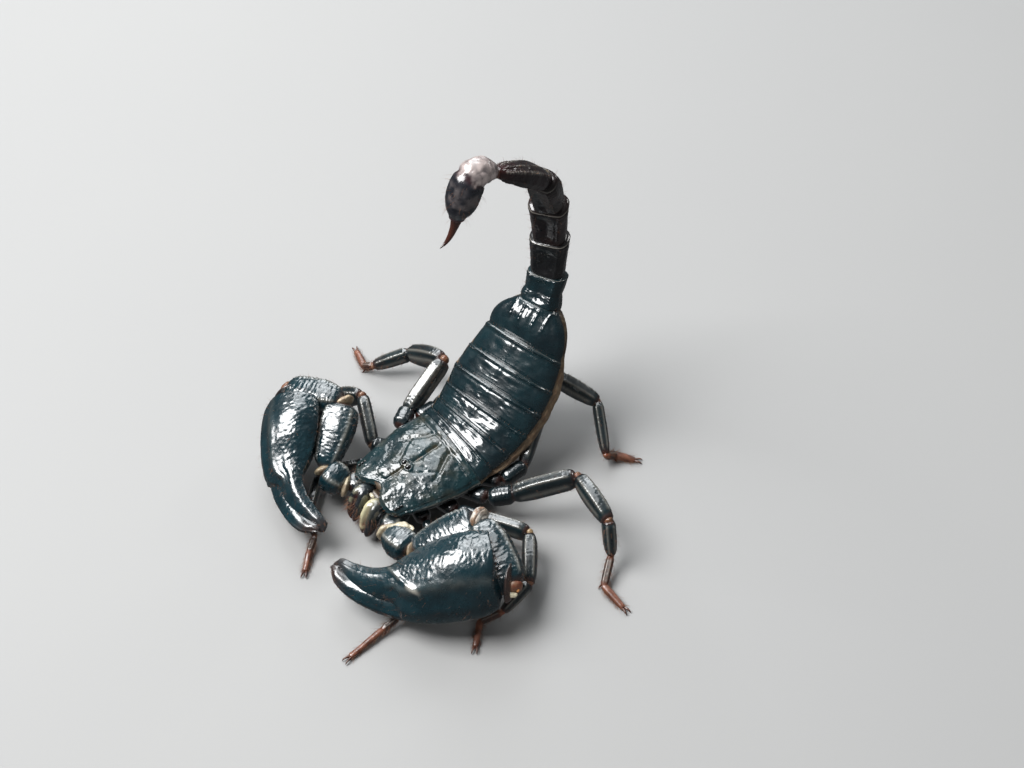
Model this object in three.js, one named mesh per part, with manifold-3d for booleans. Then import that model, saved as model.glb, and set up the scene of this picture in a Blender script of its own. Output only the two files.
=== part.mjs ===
// A still, life-size adult forest scorpion (Heterometrus), standing on its eight legs with the tail raised.
// Millimetres, +Z up. The head points along -Y and the animal's left side is +X. Ground is Z = 0.
// Every named mesh is one closed solid; neighbours keep a 0.3 mm joint gap.
import * as THREE from "three";
import Module from "manifold-3d";

const wasm = await Module();
wasm.setup();

const GAP = 0.15; // each of two neighbours stands this far back from their joint
const SHIFT = [-5.756, -2.5148, 0]; // puts the middle of the footprint at the origin

// ---------- small vector helpers
const V = (x, y, z) => new THREE.Vector3(x, y, z);
const v3 = (a) => V(a[0], a[1], a[2]);
const rad = (d) => (d * Math.PI) / 180;
const lerp = (a, b, t) => a + (b - a) * t;
const mix = (a, b, t) => a.clone().lerp(b, t);
const UP = V(0, 0, 1);

// ---------- materials
const MATERIALS = {
  shell_gloss: [0x24434a, 0.28],
  claw_gloss: [0x2a5058, 0.24],
  leg_gloss: [0x223a42, 0.32],
  tail_dark: [0x2b2528, 0.32],
  tarsus_brown: [0x6a3a2a, 0.45],
  telson_slate: [0x4a5257, 0.34],
  sting_brown: [0x5a2c1e, 0.3],
  membrane_tan: [0xb09a78, 0.55],
  eye_black: [0x08090a, 0.1],
};
const MATS = Object.fromEntries(
  Object.entries(MATERIALS).map(([k, [color, roughness]]) => [
    k,
    new THREE.MeshStandardMaterial({ name: k, color, roughness, metalness: 0 }),
  ]),
);

const scorpion = new THREE.Group();
scorpion.name = "scorpion";
function add(name, geometry, slot) {
  const mesh = new THREE.Mesh(geometry, MATS[slot]);
  mesh.name = name;
  mesh.position.set(...SHIFT);
  scorpion.add(mesh);
  return mesh;
}

// ---------- solids
// A closed solid through rings that all have the same number of points; each end is closed by a fan.
function loft(rings) {
  const n = rings[0].length;
  const pos = [];
  const idx = [];
  rings.forEach((r) => r.forEach((p) => pos.push(p.x, p.y, p.z)));
  for (let i = 0; i + 1 < rings.length; i++)
    for (let j = 0; j < n; j++) {
      const a = i * n + j,
        b = i * n + ((j + 1) % n),
        c = a + n,
        d = b + n;
      idx.push(a, b, c, b, d, c);
    }
  const cap = (r, base, flip) => {
    const m = r.reduce((s, p) => s.add(p), V(0, 0, 0)).divideScalar(n);
    const k = pos.length / 3;
    pos.push(m.x, m.y, m.z);
    for (let j = 0; j < n; j++) {
      const a = base + j,
        b = base + ((j + 1) % n);
      if (flip) idx.push(k, b, a);
      else idx.push(k, a, b);
    }
  };
  cap(rings[0], 0, true);
  cap(rings[rings.length - 1], (rings.length - 1) * n, false);
  let vol = 0;
  for (let i = 0; i < idx.length; i += 3) {
    const [a, b, c] = [idx[i], idx[i + 1], idx[i + 2]].map((k) =>
      V(pos[3 * k], pos[3 * k + 1], pos[3 * k + 2]),
    );
    vol += a.dot(b.cross(c));
  }
  if (vol < 0)
    for (let i = 0; i < idx.length; i += 3)
      [idx[i + 1], idx[i + 2]] = [idx[i + 2], idx[i + 1]];
  const g = new THREE.BufferGeometry();
  g.setAttribute("position", new THREE.Float32BufferAttribute(pos, 3));
  g.setIndex(idx);
  return g;
}
const toSolid = (g) =>
  new wasm.Manifold(
    new wasm.Mesh({
      numProp: 3,
      vertProperties: new Float32Array(g.attributes.position.array),
      triVerts: new Uint32Array(g.index.array),
    }),
  );
function toGeometry(s) {
  const m = s.getMesh();
  const pos = new Float32Array(m.numVert * 3);
  for (let i = 0; i < m.numVert; i++)
    pos.set(m.vertProperties.subarray(i * m.numProp, i * m.numProp + 3), i * 3);
  const g = new THREE.BufferGeometry();
  g.setAttribute("position", new THREE.BufferAttribute(pos, 3));
  g.setIndex(new THREE.BufferAttribute(new Uint32Array(m.triVerts), 1));
  return g;
}
const union = (...gs) => toGeometry(gs.map(toSolid).reduce((a, b) => a.add(b)).simplify(0.03));
const subtract = (g, ...cuts) =>
  toGeometry(cuts.map(toSolid).reduce((a, b) => a.subtract(b), toSolid(g)).simplify(0.03));
const aboveGround = (g) =>
  toGeometry(toSolid(g).trimByPlane([0, 0, 1], 0).simplify(0.01));

// a round-cornered section: k = 1 is an ellipse, smaller k is squarer
const section = (n, hw, hh, k = 1, turn = 0) =>
  Array.from({ length: n }, (_, i) => {
    const t = ((i + 0.5) / n) * 2 * Math.PI + turn;
    const c = Math.cos(t),
      s = Math.sin(t);
    return [
      hw * Math.sign(c) * Math.abs(c) ** k,
      hh * Math.sign(s) * Math.abs(s) ** k,
    ];
  });

// frame of a straight limb piece: a along it, d its dorsal side, l sideways
function limbFrame(p0, p1, up = UP) {
  const a = p1.clone().sub(p0).normalize();
  const d = up.clone().addScaledVector(a, -up.dot(a)).normalize();
  const l = a.clone().cross(d);
  return { a, d, l };
}
// stations: [share of the length, half width, half height, dorsal offset]
function limb(p0, p1, stations, { up = UP, n = 8, k = 0.8, g0 = GAP, g1 = GAP } = {}) {
  const { a, d, l } = limbFrame(p0, p1, up);
  const len = p1.distanceTo(p0);
  return loft(
    stations.map(([t, hw, hh, off = 0]) => {
      const c = p0.clone().addScaledVector(a, lerp(g0, len - g1, t));
      return section(n, hw, hh, k).map(([x, y]) =>
        c.clone().addScaledVector(l, x).addScaledVector(d, y + off),
      );
    }),
  );
}
const swell = (stations, g) => stations.map(([t, w, h, off = 0]) => [t, w + g, h + g, off]);
// cuts a limb piece at each end by the plane that halves the bend there, one gap short of it
function mitre(g, before, p0, p1, after) {
  let s = toSolid(g);
  const d = p1.clone().sub(p0).normalize();
  if (before) {
    const m = p0.clone().sub(before).normalize().add(d).normalize();
    s = s.trimByPlane([m.x, m.y, m.z], m.dot(p0) + GAP);
  }
  if (after) {
    const m = after.clone().sub(p1).normalize().add(d).normalize();
    s = s.trimByPlane([-m.x, -m.y, -m.z], -m.dot(p1) + GAP);
  }
  return toGeometry(s);
}
// the biggest of the bodies that a cut left
const largest = (g) =>
  toGeometry(toSolid(g).decompose().reduce((a, b) => (a.volume() > b.volume() ? a : b)));
// a tube with rounded ends through a few points, radii given per point
function tube(points, radii, { up = UP, n = 8, flat = 1 } = {}) {
  return loft(
    points.map((p, i) => {
      const q0 = points[Math.max(0, i - 1)],
        q1 = points[Math.min(points.length - 1, i + 1)];
      const { d, l } = limbFrame(q0, q1, up);
      return section(n, radii[i], radii[i] * flat).map(([x, y]) =>
        p.clone().addScaledVector(l, x).addScaledVector(d, y),
      );
    }),
  );
}

// ---------- the trunk: a chain of boundary rings from the front of the carapace to the tail's end.
// [dorsal midline point], yaw, pitch (degrees), half width, drop of the dorsal arch, ventral depth
const RINGS = {
  front: [[-2.1, -11.3, 8.0], 12.8, 4.4, 5.5, 0.9, 3.0],
  a: [[1.5, 3.5, 9.9], 14.5, 10.3, 9.2, 3.4, 4.7],
  b: [[1.9, 5.2, 10.4], 10.0, 18.4, 8.9, 3.4, 4.9],
  c: [[2.2, 7.6, 11.4], 4.4, 26.4, 9.2, 3.6, 6.2],
  d: [[2.3, 10.6, 13.1], 0.2, 32.8, 9.5, 3.8, 7.4],
  e: [[2.2, 13.7, 15.3], -2.5, 37.0, 9.7, 3.8, 7.4],
  f: [[2.1, 17.1, 17.9], -2.7, 38.8, 9.2, 3.9, 7.2],
  g: [[1.9, 20.9, 21.0], -4.1, 40.3, 8.0, 3.3, 6.4],
  h: [[1.3, 25.8, 25.4], -9.5, 60.0, 3.85, 2.2, 4.7],
  i: [[0.7, 28.6, 29.8], -18.7, 70.4, 3.4, 2.3, 4.9],
  j: [[0.35, 29.6, 36.4], -25.4, 91.0, 3.15, 2.2, 4.7],
  k: [[0.8, 28.8, 44.4], -28.6, 102.0, 3.0, 2.1, 4.5],
  l: [[1.6, 25.3, 52.7], -8.5, 125.1, 2.8, 1.9, 4.2],
  m: [[1.35, 15.75, 61.4], 8.7, 153.2, 2.3, 1.7, 3.8],
};
function ringFrame([c, yaw, pitch, w, s, depth]) {
  const y = rad(yaw),
    p = rad(pitch);
  const x = V(Math.cos(y), -Math.sin(y), 0);
  const b = V(Math.sin(y) * Math.cos(p), Math.cos(y) * Math.cos(p), Math.sin(p));
  const n = x.clone().cross(b);
  return { c: v3(c), x, b, n, w, s, depth };
}
const R = Object.fromEntries(
  Object.entries(RINGS).map(([k, v]) => [k, ringFrame(v)]),
);
function mixFrame(p, q, t) {
  const x = mix(p.x, q.x, t).normalize();
  const b0 = mix(p.b, q.b, t);
  const b = b0.addScaledVector(x, -b0.dot(x)).normalize();
  return {
    c: mix(p.c, q.c, t),
    x,
    b,
    n: x.clone().cross(b),
    w: lerp(p.w, q.w, t),
    s: lerp(p.s, q.s, t),
    depth: lerp(p.depth, q.depth, t),
  };
}
// section of the trunk: a dorsal arch over a narrower belly
const ARCH = [-90, -66, -42, -20, 0, 20, 42, 66, 90].map(rad);
function trunkRing(f, { scale = 1, along = 0, lift = 0, bellyWidth = 0.64, out } = {}) {
  const at = (x, drop) =>
    f.c
      .clone()
      .addScaledVector(f.x, x)
      .addScaledVector(f.n, -drop + lift)
      .addScaledVector(f.b, along);
  const w = f.w * scale;
  const side = f.s + (f.depth - f.s) * 0.35;
  const top = ARCH.map((t) =>
    at(w * Math.sin(t), f.s * (1 - Math.cos(t)) + (1 - scale) * 2),
  );
  const low = [
    [0.95, side],
    [bellyWidth + 0.06, lerp(side, f.depth, 0.8)],
    [bellyWidth * 0.72, f.depth],
    [0, f.depth],
    [-bellyWidth * 0.72, f.depth],
    [-bellyWidth - 0.06, lerp(side, f.depth, 0.8)],
    [-0.95, side],
  ].map(([k, drop]) => at(w * k, drop - (1 - scale) * 2));
  return [...top, ...low];
}
function trunkPiece(p, q, { front = 0.965, rear = 0.985, bulge = 0 } = {}) {
  const len = q.c.distanceTo(p.c);
  const t0 = GAP / len;
  return loft([
    trunkRing(p, { scale: front, along: GAP }),
    trunkRing(mixFrame(p, q, Math.max(0.3, t0)), { scale: 0.99, lift: bulge * 0.6 }),
    trunkRing(mixFrame(p, q, 0.72), { scale: 1, lift: bulge }),
    trunkRing(q, { scale: rear, along: -GAP }),
  ]);
}

// carapace: widest near its rear, a shallow notch in the front edge, median tubercle with two eyes
const carapaceAt = (t) => {
  const f = mixFrame(R.front, R.a, t);
  const u = Math.max(0, t);
  f.w = lerp(6.9, 9.2, Math.sin((Math.PI / 2) * Math.min(1, u * 1.12)) ** 1.4);
  f.s = lerp(1.7, 3.4, u ** 0.8);
  f.c.addScaledVector(f.n, 0.7 * Math.sin(Math.PI * u) ** 1.2);
  f.c.addScaledVector(f.x, 0.35 * (1 - u) + 0.45 * Math.sin(Math.PI * u));
  return f;
};
function carapaceRing(t, drop = 0, notch = 0) {
  const f = carapaceAt(t);
  const side = lerp(2.3, 4.3, Math.max(0, t)),
    base = lerp(2.7, 4.7, Math.max(0, t));
  const at = (x, d) => {
    const edge = notch * (1 - Math.min(1, Math.abs(x / f.w) / 0.45)) ** 1.0;
    const corner = notch * 0.2 * Math.max(0, Math.abs(x / f.w) - 0.55) / 0.45;
    return f.c
      .clone()
      .addScaledVector(f.x, x)
      .addScaledVector(f.n, -d - drop)
      .addScaledVector(f.b, edge + corner);
  };
  return [
    ...ARCH.map((a) => at(f.w * Math.sin(a), f.s * (1 - Math.cos(a)))),
    at(f.w * 0.94, side),
    at(f.w * 0.6, base),
    at(0, base),
    at(-f.w * 0.6, base),
    at(-f.w * 0.94, side),
  ];
}
const carapaceSteps = [-0.065, -0.02, 0.16, 0.34, 0.5, 0.66, 0.82, 0.95];
const carapaceRings = carapaceSteps.map((t, i) =>
  carapaceRing(t, i === 0 ? 0.35 : 0, i === 0 ? 1.8 : i === 1 ? 1.5 : i === 2 ? 0.2 : 0),
);
{
  const f = carapaceAt(1);
  const last = carapaceRing(1, 0.2).map((p) => p.addScaledVector(f.b, -GAP));
  carapaceRings.push(last);
}
const ball = (c, r, rows = 5, cols = 8) => {
  const rings = [];
  for (let i = 1; i < rows; i++) {
    const a = (Math.PI * i) / rows;
    rings.push(
      Array.from({ length: cols }, (_, j) => {
        const b = (2 * Math.PI * j) / cols;
        return c
          .clone()
          .add(V(r * Math.sin(a) * Math.cos(b), r * Math.sin(a) * Math.sin(b), r * Math.cos(a)));
      }),
    );
  }
  return loft(rings);
};
const MEDIAN_EYE = { t: 0.42, x: 0.62, lift: 0.12, r: 0.5 };
const eyeCentre = (side, { t, x, lift }) => {
  const f = carapaceAt(t);
  const a = Math.asin(x / f.w);
  return f.c
    .clone()
    .addScaledVector(f.x, side * x)
    .addScaledVector(f.n, -f.s * (1 - Math.cos(a)) + lift);
};
const LATERAL_EYES = { t: 0.07, x: 5.7, lift: 0.02 };
const lateralEye = (side, r) => {
  const f = carapaceAt(LATERAL_EYES.t);
  const c = eyeCentre(side, LATERAL_EYES);
  const p = [-1, -0.8, 0, 0.8, 1].map((k) => c.clone().addScaledVector(f.b, k * (0.75 + r - 0.3)));
  return tube(p, [0.55, 0.9, 1, 0.9, 0.55].map((k) => k * r), { up: f.n, n: 6 });
};
const sides = { left: 1, right: -1 };
add(
  "carapace",
  subtract(
    loft(carapaceRings),
    ball(eyeCentre(1, MEDIAN_EYE), MEDIAN_EYE.r + 0.15),
    ball(eyeCentre(-1, MEDIAN_EYE), MEDIAN_EYE.r + 0.15),
    lateralEye(1, 0.45),
    lateralEye(-1, 0.45),
  ),
  "shell_gloss",
);
for (const [name, side] of Object.entries(sides)) {
  add("eye_median_" + name, ball(eyeCentre(side, MEDIAN_EYE), MEDIAN_EYE.r), "eye_black");
  add("eyes_lateral_" + name, lateralEye(side, 0.3), "eye_black");
}

// seven body plates, each a full slice of the body with its plate above and belly plate below
[["a", "b"], ["b", "c"], ["c", "d"], ["d", "e"], ["e", "f"], ["f", "g"], ["g", "h"]].forEach(
  ([p, q], i) =>
    add(
      "mesosoma_" + (i + 1),
      trunkPiece(R[p], R[q], { bulge: i === 6 ? 0.9 : 0.25, rear: i === 6 ? 0.95 : 0.985 }),
      "shell_gloss",
    ),
);

// tail: five keeled segments, each flaring to its far end
function tailRing(f, w, h, { along = 0, trough = 0.06 } = {}) {
  const c = f.c.clone().addScaledVector(f.n, -h).addScaledVector(f.b, along);
  // dorsal keels high at both sides of a shallow trough, rounded flanks, two low keels below
  const outline = [
    [0, 1 - trough],
    [0.4, 0.96],
    [0.76, 0.78],
    [0.97, 0.38],
    [1.0, -0.05],
    [0.92, -0.52],
    [0.62, -0.88],
    [0.25, -1.0],
    [-0.25, -1.0],
    [-0.62, -0.88],
    [-0.92, -0.52],
    [-1.0, -0.05],
    [-0.97, 0.38],
    [-0.76, 0.78],
    [-0.4, 0.96],
  ];
  return outline.map(([x, y]) =>
    c.clone().addScaledVector(f.x, x * w).addScaledVector(f.n, y * h),
  );
}
const TAIL = [
  // from, to, half width near, far, half height near, far
  ["h", "i", 3.35, 3.4, 2.35, 2.6],
  ["i", "j", 3.0, 3.3, 2.3, 2.55],
  ["j", "k", 2.95, 3.2, 2.25, 2.5],
  ["k", "l", 2.65, 2.85, 2.2, 2.3],
  ["l", "m", 2.45, 1.6, 2.05, 1.3],
];
TAIL.forEach(([p, q, w0, w1, h0, h1], i) => {
  const a = R[p],
    b = R[q];
  const step = (t, k, kh = k) =>
    tailRing(mixFrame(a, b, t), lerp(w0, w1, t) * k, lerp(h0, h1, t) * kh);
  // the first segment is as broad at its base as the trunk's end
  const [kBase, kNear] = i ? [0.72, 0.93] : [0.94, 1.05];
  const first = tailRing(a, w0 * kBase, h0 * (i ? 0.74 : 0.9), { along: GAP + 0.1 });
  const last = tailRing(b, w1 * 0.8, h1 * 0.82, { along: -GAP - 0.1 });
  add(
    "metasoma_" + (i + 1),
    loft([first, step(0.16, kNear, i ? 0.93 : 1), step(0.5, 0.98), step(0.84, 1.03), last]),
    i < 2 ? "shell_gloss" : "tail_dark",
  );
});

// telson: a pear-shaped bulb that hangs from the end of the tail, and a curved sting
const TELSON = [
  // centre, radius
  [[1.38, 15.75, 62.95], 1.05],
  [[1.2, 14.6, 63.9], 1.75],
  [[0.95, 13.1, 64.75], 2.2],
  [[0.72, 11.5, 64.4], 2.45],
  [[0.57, 10.5, 62.9], 2.65],
  [[0.47, 9.8, 61.3], 2.6],
  [[0.38, 9.2, 59.7], 2.15],
  [[0.32, 8.85, 58.5], 1.5],
  [[0.3, 8.65, 57.8], 1.05],
];
const forward = V(0, -1, 0.35).normalize();
add(
  "telson_vesicle",
  tube(TELSON.map(([p]) => v3(p)), TELSON.map(([, r]) => r), { up: forward, n: 12 }),
  "telson_slate",
);
const STING = [
  [[0.28, 8.5, 57.5], 0.8],
  [[0.2, 7.95, 56.0], 0.6],
  [[0.1, 7.25, 54.8], 0.48],
  [[-0.03, 6.4, 54.0], 0.38],
  [[-0.2, 5.4, 53.6], 0.27],
];
add(
  "aculeus",
  tube(STING.map(([p]) => v3(p)), STING.map(([, r]) => r), { up: forward, n: 8 }),
  "sting_brown",
);

// ---------- mouth: two chelicerae under the front edge
const chelicerae = [];
{
  const f = R.front;
  for (const [name, side] of Object.entries(sides)) {
    const at = (x, fwd, drop) =>
      f.c
        .clone()
        .addScaledVector(f.x, side * x)
        .addScaledVector(f.b, -fwd)
        .addScaledVector(f.n, -drop);
    // they hang forward and down, leaning a little to the animal's left: [across, forward, drop, radius]
    const line = [
      [0.6, 0.5, 2.5, 1.4],
      [0.75, 1.9, 2.1, 1.7],
      [1.0, 2.9, 3.0, 1.8],
      [1.3, 3.9, 4.1, 1.6],
      [1.65, 4.8, 5.1, 1.15],
      [1.9, 5.4, 5.8, 0.6],
    ];
    const whole = tube(
      line.map(([x, fwd, drop, r]) => at(side * x + (side > 0 ? 2.2 : 1.85) - (r < 1.2 ? 0.15 : 0), fwd, drop)),
      line.map(([, , , r]) => r * 1.06),
      { up: f.n, n: 10, flat: 0.88 },
    );
    const jaw = largest(
      subtract(
        whole,
        ...[[0, -0.3, 0], [0.2, -0.2, -0.2], [-0.2, -0.2, -0.2], [0, 0, -0.3]].map((d) =>
          loft(carapaceRings).translate(...d),
        ),
      ),
    );
    chelicerae.push(jaw);
    add("chelicera_" + name, jaw, "shell_gloss");
  }
}

// ---------- limb joints
const PALPS = {
  left: {
    side: 1,
    base: [1.4, -6.0, 3.9],
    coxa: [4.7, -15.05, 4.6],
    trochanter: [11.1, -15.5, 5.6],
    femur: [17.6, -6.1, 10.6],
    patella: [30.0, -11.5, 9.2],
    tip: [2.9, -25.5, 6.3],
  },
  right: {
    side: -1,
    base: [-4.4, -5.0, 3.9],
    coxa: [-7.2, -13.0, 4.8],
    trochanter: [-11.6, -13.9, 6.2],
    femur: [-16.6, -3.6, 11.1],
    patella: [-27.1, -7.8, 9.6],
    tip: [-2.3, -22.1, 6.3],
  },
};
// coxa joint, trochanter end, knee, patella end, tibia end, basitarsus end, foot
const LEGS = {
  left_1: [[7.0, -8.3, 3.0], [10.0, -9.4, 2.7], [16.0, -12.9, 2.4], [17.0, -20.0, 1.75], [16.4, -24.5, 1.6], [15.9, -27.6, 1.1], [15.3, -34.7, 0]],
  left_2: [[10.3, -4.0, 4.4], [13.8, -3.0, 4.7], [23.5, -0.2, 6.4], [29.3, -6.8, 4.9], [28.5, -12.5, 2.0], [26.6, -15.9, 1.0], [29.1, -19.7, 0]],
  left_3: [[12.6, 1.3, 4.9], [15.6, 4.2, 5.7], [23.2, 12.4, 9.2], [32.5, 9.2, 8.9], [34.9, 7.5, 2.9], [37.3, 2.9, 1.1], [42.3, 2.1, 0]],
  left_4: [[12.1, 5.4, 5.2], [12.9, 10.0, 5.6], [5.8, 25.6, 10.4], [14.0, 28.4, 7.4], [20.7, 23.1, 2.8], [21.0, 25.3, 1.0], [24.2, 27.2, 0]],
  right_1: [[-7.6, -5.0, 3.0], [-10.2, -7.2, 2.7], [-13.6, -13.6, 2.3], [-9.5, -20.0, 1.75], [-5.4, -22.5, 1.6], [-4.1, -25.1, 1.1], [-2.1, -28.1, 0]],
  right_2: [[-7.8, -1.8, 4.2], [-10.2, -3.6, 4.8], [-17.4, 1.3, 7.9], [-23.6, -0.4, 4.0], [-26.2, -4.0, 1.9], [-27.6, -6.2, 1.0], [-29.4, -8.6, 0]],
  right_3: [[-9.3, 2.1, 5.1], [-10.8, 5.7, 4.9], [-11.3, 16.0, 9.7], [-19.9, 15.7, 5.0], [-24.7, 10.8, 2.1], [-26.7, 10.3, 0.9], [-30.7, 12.2, 0]],
  right_4: [[-8.6, 5.9, 4.8], [-8.1, 9.9, 4.4], [-4.0, 21.5, 8.6], [-6.0, 31.0, 5.0], [-9.0, 35.5, 2.3], [-9.6, 37.5, 1.0], [-11.5, 39.5, 0]],
};

// where each leg's coxa starts on the belly plate
const COXA_BASE = {
  left_1: [1.2, -6.2],
  left_2: [2.0, -3.6],
  left_3: [2.4, -0.6],
  left_4: [3.0, 2.6],
  right_1: [-3.2, -5.2],
  right_2: [-2.6, -2.4],
  right_3: [-2.0, 0.8],
  right_4: [-1.6, 3.6],
};

// underside of the front body: belly plate with the ten limb bases
{
  const plate = limb(V(-2.2, -9.4, 3.6), V(3.0, 9.3, 3.3), [
    [0, 2.6, 0.9],
    [0.1, 4.0, 1.2],
    [0.4, 6.6, 1.25],
    [0.7, 7.2, 1.25],
    [0.9, 6.0, 1.1],
    [1, 4.2, 0.8],
  ], { n: 12, k: 0.75, g0: 0, g1: 0 });
  const coxae = [];
  const base = COXA_BASE;
  for (const [name, [x, y]] of Object.entries(base)) {
    const [end, next] = LEGS[name].map(v3);
    const from = V(x, y, 3.2);
    coxae.push(
      mitre(
        limb(from, end, [
          [0, 1.1, 1.0],
          [0.5, 1.4, 1.3],
          [0.88, 1.35, 1.25],
          [1, 0.9, 0.9],
        ], { g0: 0, n: 6 }),
        null,
        from,
        end,
        next,
      ),
    );
  }
  for (const [side, from] of [["left", v3(PALPS.left.base)], ["right", v3(PALPS.right.base)]])
    coxae.push(
      mitre(
        limb(from, v3(PALPS[side].coxa), [
          [0, 1.6, 1.0],
          [0.45, 2.0, 1.15],
          [0.85, 1.9, 1.4],
          [1, 1.2, 1.0],
        ], { g0: 0, n: 8 }),
        null,
        from,
        v3(PALPS[side].coxa),
        v3(PALPS[side].trochanter),
      ),
    );
  // it keeps clear of the carapace and of the first body pieces above it
  const above = ["a", "b", "c"].map((k, i) =>
    trunkPiece(R[k], R["bcd"[i]], { bulge: 0.25 }).translate(0, 0, -0.3),
  );
  for (const g of [loft(carapaceRings), ...chelicerae])
    for (const d of [[0, 0, -0.45], [0, -0.4, -0.1], [0.35, 0, -0.1], [-0.35, 0, -0.1]])
      above.push(g.clone().translate(...d));
  add(
    "coxosternum",
    toGeometry(toSolid(largest(subtract(union(plate, ...coxae), ...above))).simplify(0.08)),
    "leg_gloss",
  );
}

// combs: a toothed blade on each side behind the last limb base
for (const [name, side] of Object.entries(sides)) {
  const teeth = 11,
    length = 7.6,
    shape = new THREE.Shape();
  shape.moveTo(0, 0.75);
  shape.lineTo(0, 0);
  for (let i = 0; i < teeth; i++) {
    const x = (i / teeth) * length;
    const depth = 1.5 - 0.06 * i;
    shape.lineTo(x + 0.06, -depth);
    shape.lineTo(x + length / teeth - 0.12, -depth);
    shape.lineTo(x + length / teeth, -0.15);
  }
  shape.lineTo(length, 0.25);
  shape.lineTo(length * 0.5, 0.85);
  const comb = new THREE.ExtrudeGeometry(shape, { depth: 0.5, bevelEnabled: false });
  const turn = new THREE.Matrix4().makeRotationZ(rad(side > 0 ? 28 : -28));
  comb.scale(side, 1, 1);
  if (side < 0) {
    const p = comb.attributes.position.array;
    for (let i = 0; i < p.length; i += 9)
      for (let j = 0; j < 3; j++) [p[i + 3 + j], p[i + 6 + j]] = [p[i + 6 + j], p[i + 3 + j]];
  }
  comb.scale(1, -1, 1);
  {
    const p = comb.attributes.position.array;
    for (let i = 0; i < p.length; i += 9)
      for (let j = 0; j < 3; j++) [p[i + 3 + j], p[i + 6 + j]] = [p[i + 6 + j], p[i + 3 + j]];
  }
  comb.applyMatrix4(turn);
  comb.translate(2.6 + side * 1.0, 10.6, 3.2);
  const only = new THREE.BufferGeometry();
  only.setAttribute("position", comb.attributes.position);
  add("pecten_" + name, only, "membrane_tan");
}

// ---------- pedipalps
// section of the hand, seen from the wrist, in a unit box: a broad granular upper face, a smooth outer face, a rounded inner lobe
const HAND = [
  [-0.92, 0.86],
  [-0.25, 1.0],
  [0.42, 0.74],
  [0.86, 0.1],
  [1.0, -0.62],
  [0.45, -1.0],
  [-0.5, -0.86],
  [-1.0, -0.15],
  [-1.0, 0.45],
];
// share of the length, then the section's box: inner, outer, lower, upper
const HAND_STATIONS = [
  [0.0, -1.3, 1.7, -1.5, 1.7],
  [0.035, -3.0, 2.9, -2.3, 3.5],
  [0.12, -4.6, 4.9, -3.4, 5.2],
  [0.25, -4.0, 6.2, -4.2, 5.4],
  [0.38, -2.8, 7.0, -4.7, 4.5],
  [0.49, -1.1, 7.3, -4.7, 2.9],
  [0.56, 0.5, 6.7, -4.2, 2.2],
  [0.61, 1.4, 5.2, -2.4, 1.95],
  [0.68, 1.75, 4.7, -1.7, 1.6],
  [0.76, 1.55, 4.3, -1.4, 1.25],
  [0.87, 0.6, 3.1, -1.1, 0.8],
  [0.95, -0.3, 1.6, -0.7, 0.6],
  [1.0, -0.7, 0.3, -0.25, 0.4],
];
// the left hand swells further inward and upward, over the arm it is folded against
const LEFT_SWELL = [
  [0, 0],
  [0.9, 1.3],
  [1.5, 2.1],
  [1.5, 2.1],
  [1.5, 2.1],
  [1.9, 2.1],
  [2.0, 1.8],
  [1.6, 1.4],
  [0.8, 0.7],
  [0.4, 0.4],
  [0.1, 0.1],
  [0, 0],
  [0, 0],
];
const FINGER_STATIONS = [
  [0.53, 4.2, 6.5, -4.1, -2.3],
  [0.56, 3.6, 6.9, -4.5, -1.8],
  [0.64, 3.4, 6.9, -4.3, -1.4],
  [0.75, 3.4, 6.5, -3.6, -1.0],
  [0.87, 2.8, 5.5, -2.7, -0.6],
  [0.95, 2.0, 4.2, -1.7, -0.2],
  [1.0, 1.3, 2.3, -0.9, -0.1],
];
const grow = (stations, g) =>
  stations.map(([t, a, b, c, d], i) => [
    t + (i === 0 ? -g : i === stations.length - 1 ? g : 0) / 29,
    a - g,
    b + g,
    c - g,
    d + g,
  ]);
const PALP_TROCHANTER = [
  [0, 1.2, 1.1],
  [0.18, 2.3, 2.1],
  [0.5, 2.8, 2.5],
  [0.82, 2.6, 2.3],
  [1, 1.4, 1.3],
];
const PALP_FEMUR = [
  [0, 0.9, 0.9],
  [0.12, 2.0, 1.8],
  [0.35, 2.8, 2.3],
  [0.65, 3.3, 2.5],
  [0.88, 3.0, 2.3],
  [1, 1.5, 1.2],
];
const PALP_PATELLA = [
  [0, 1.2, 1.1],
  [0.12, 2.4, 2.2],
  [0.4, 3.2, 2.7],
  [0.7, 3.15, 2.6],
  [0.9, 2.5, 2.2],
  [1, 1.3, 1.2],
];
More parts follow.
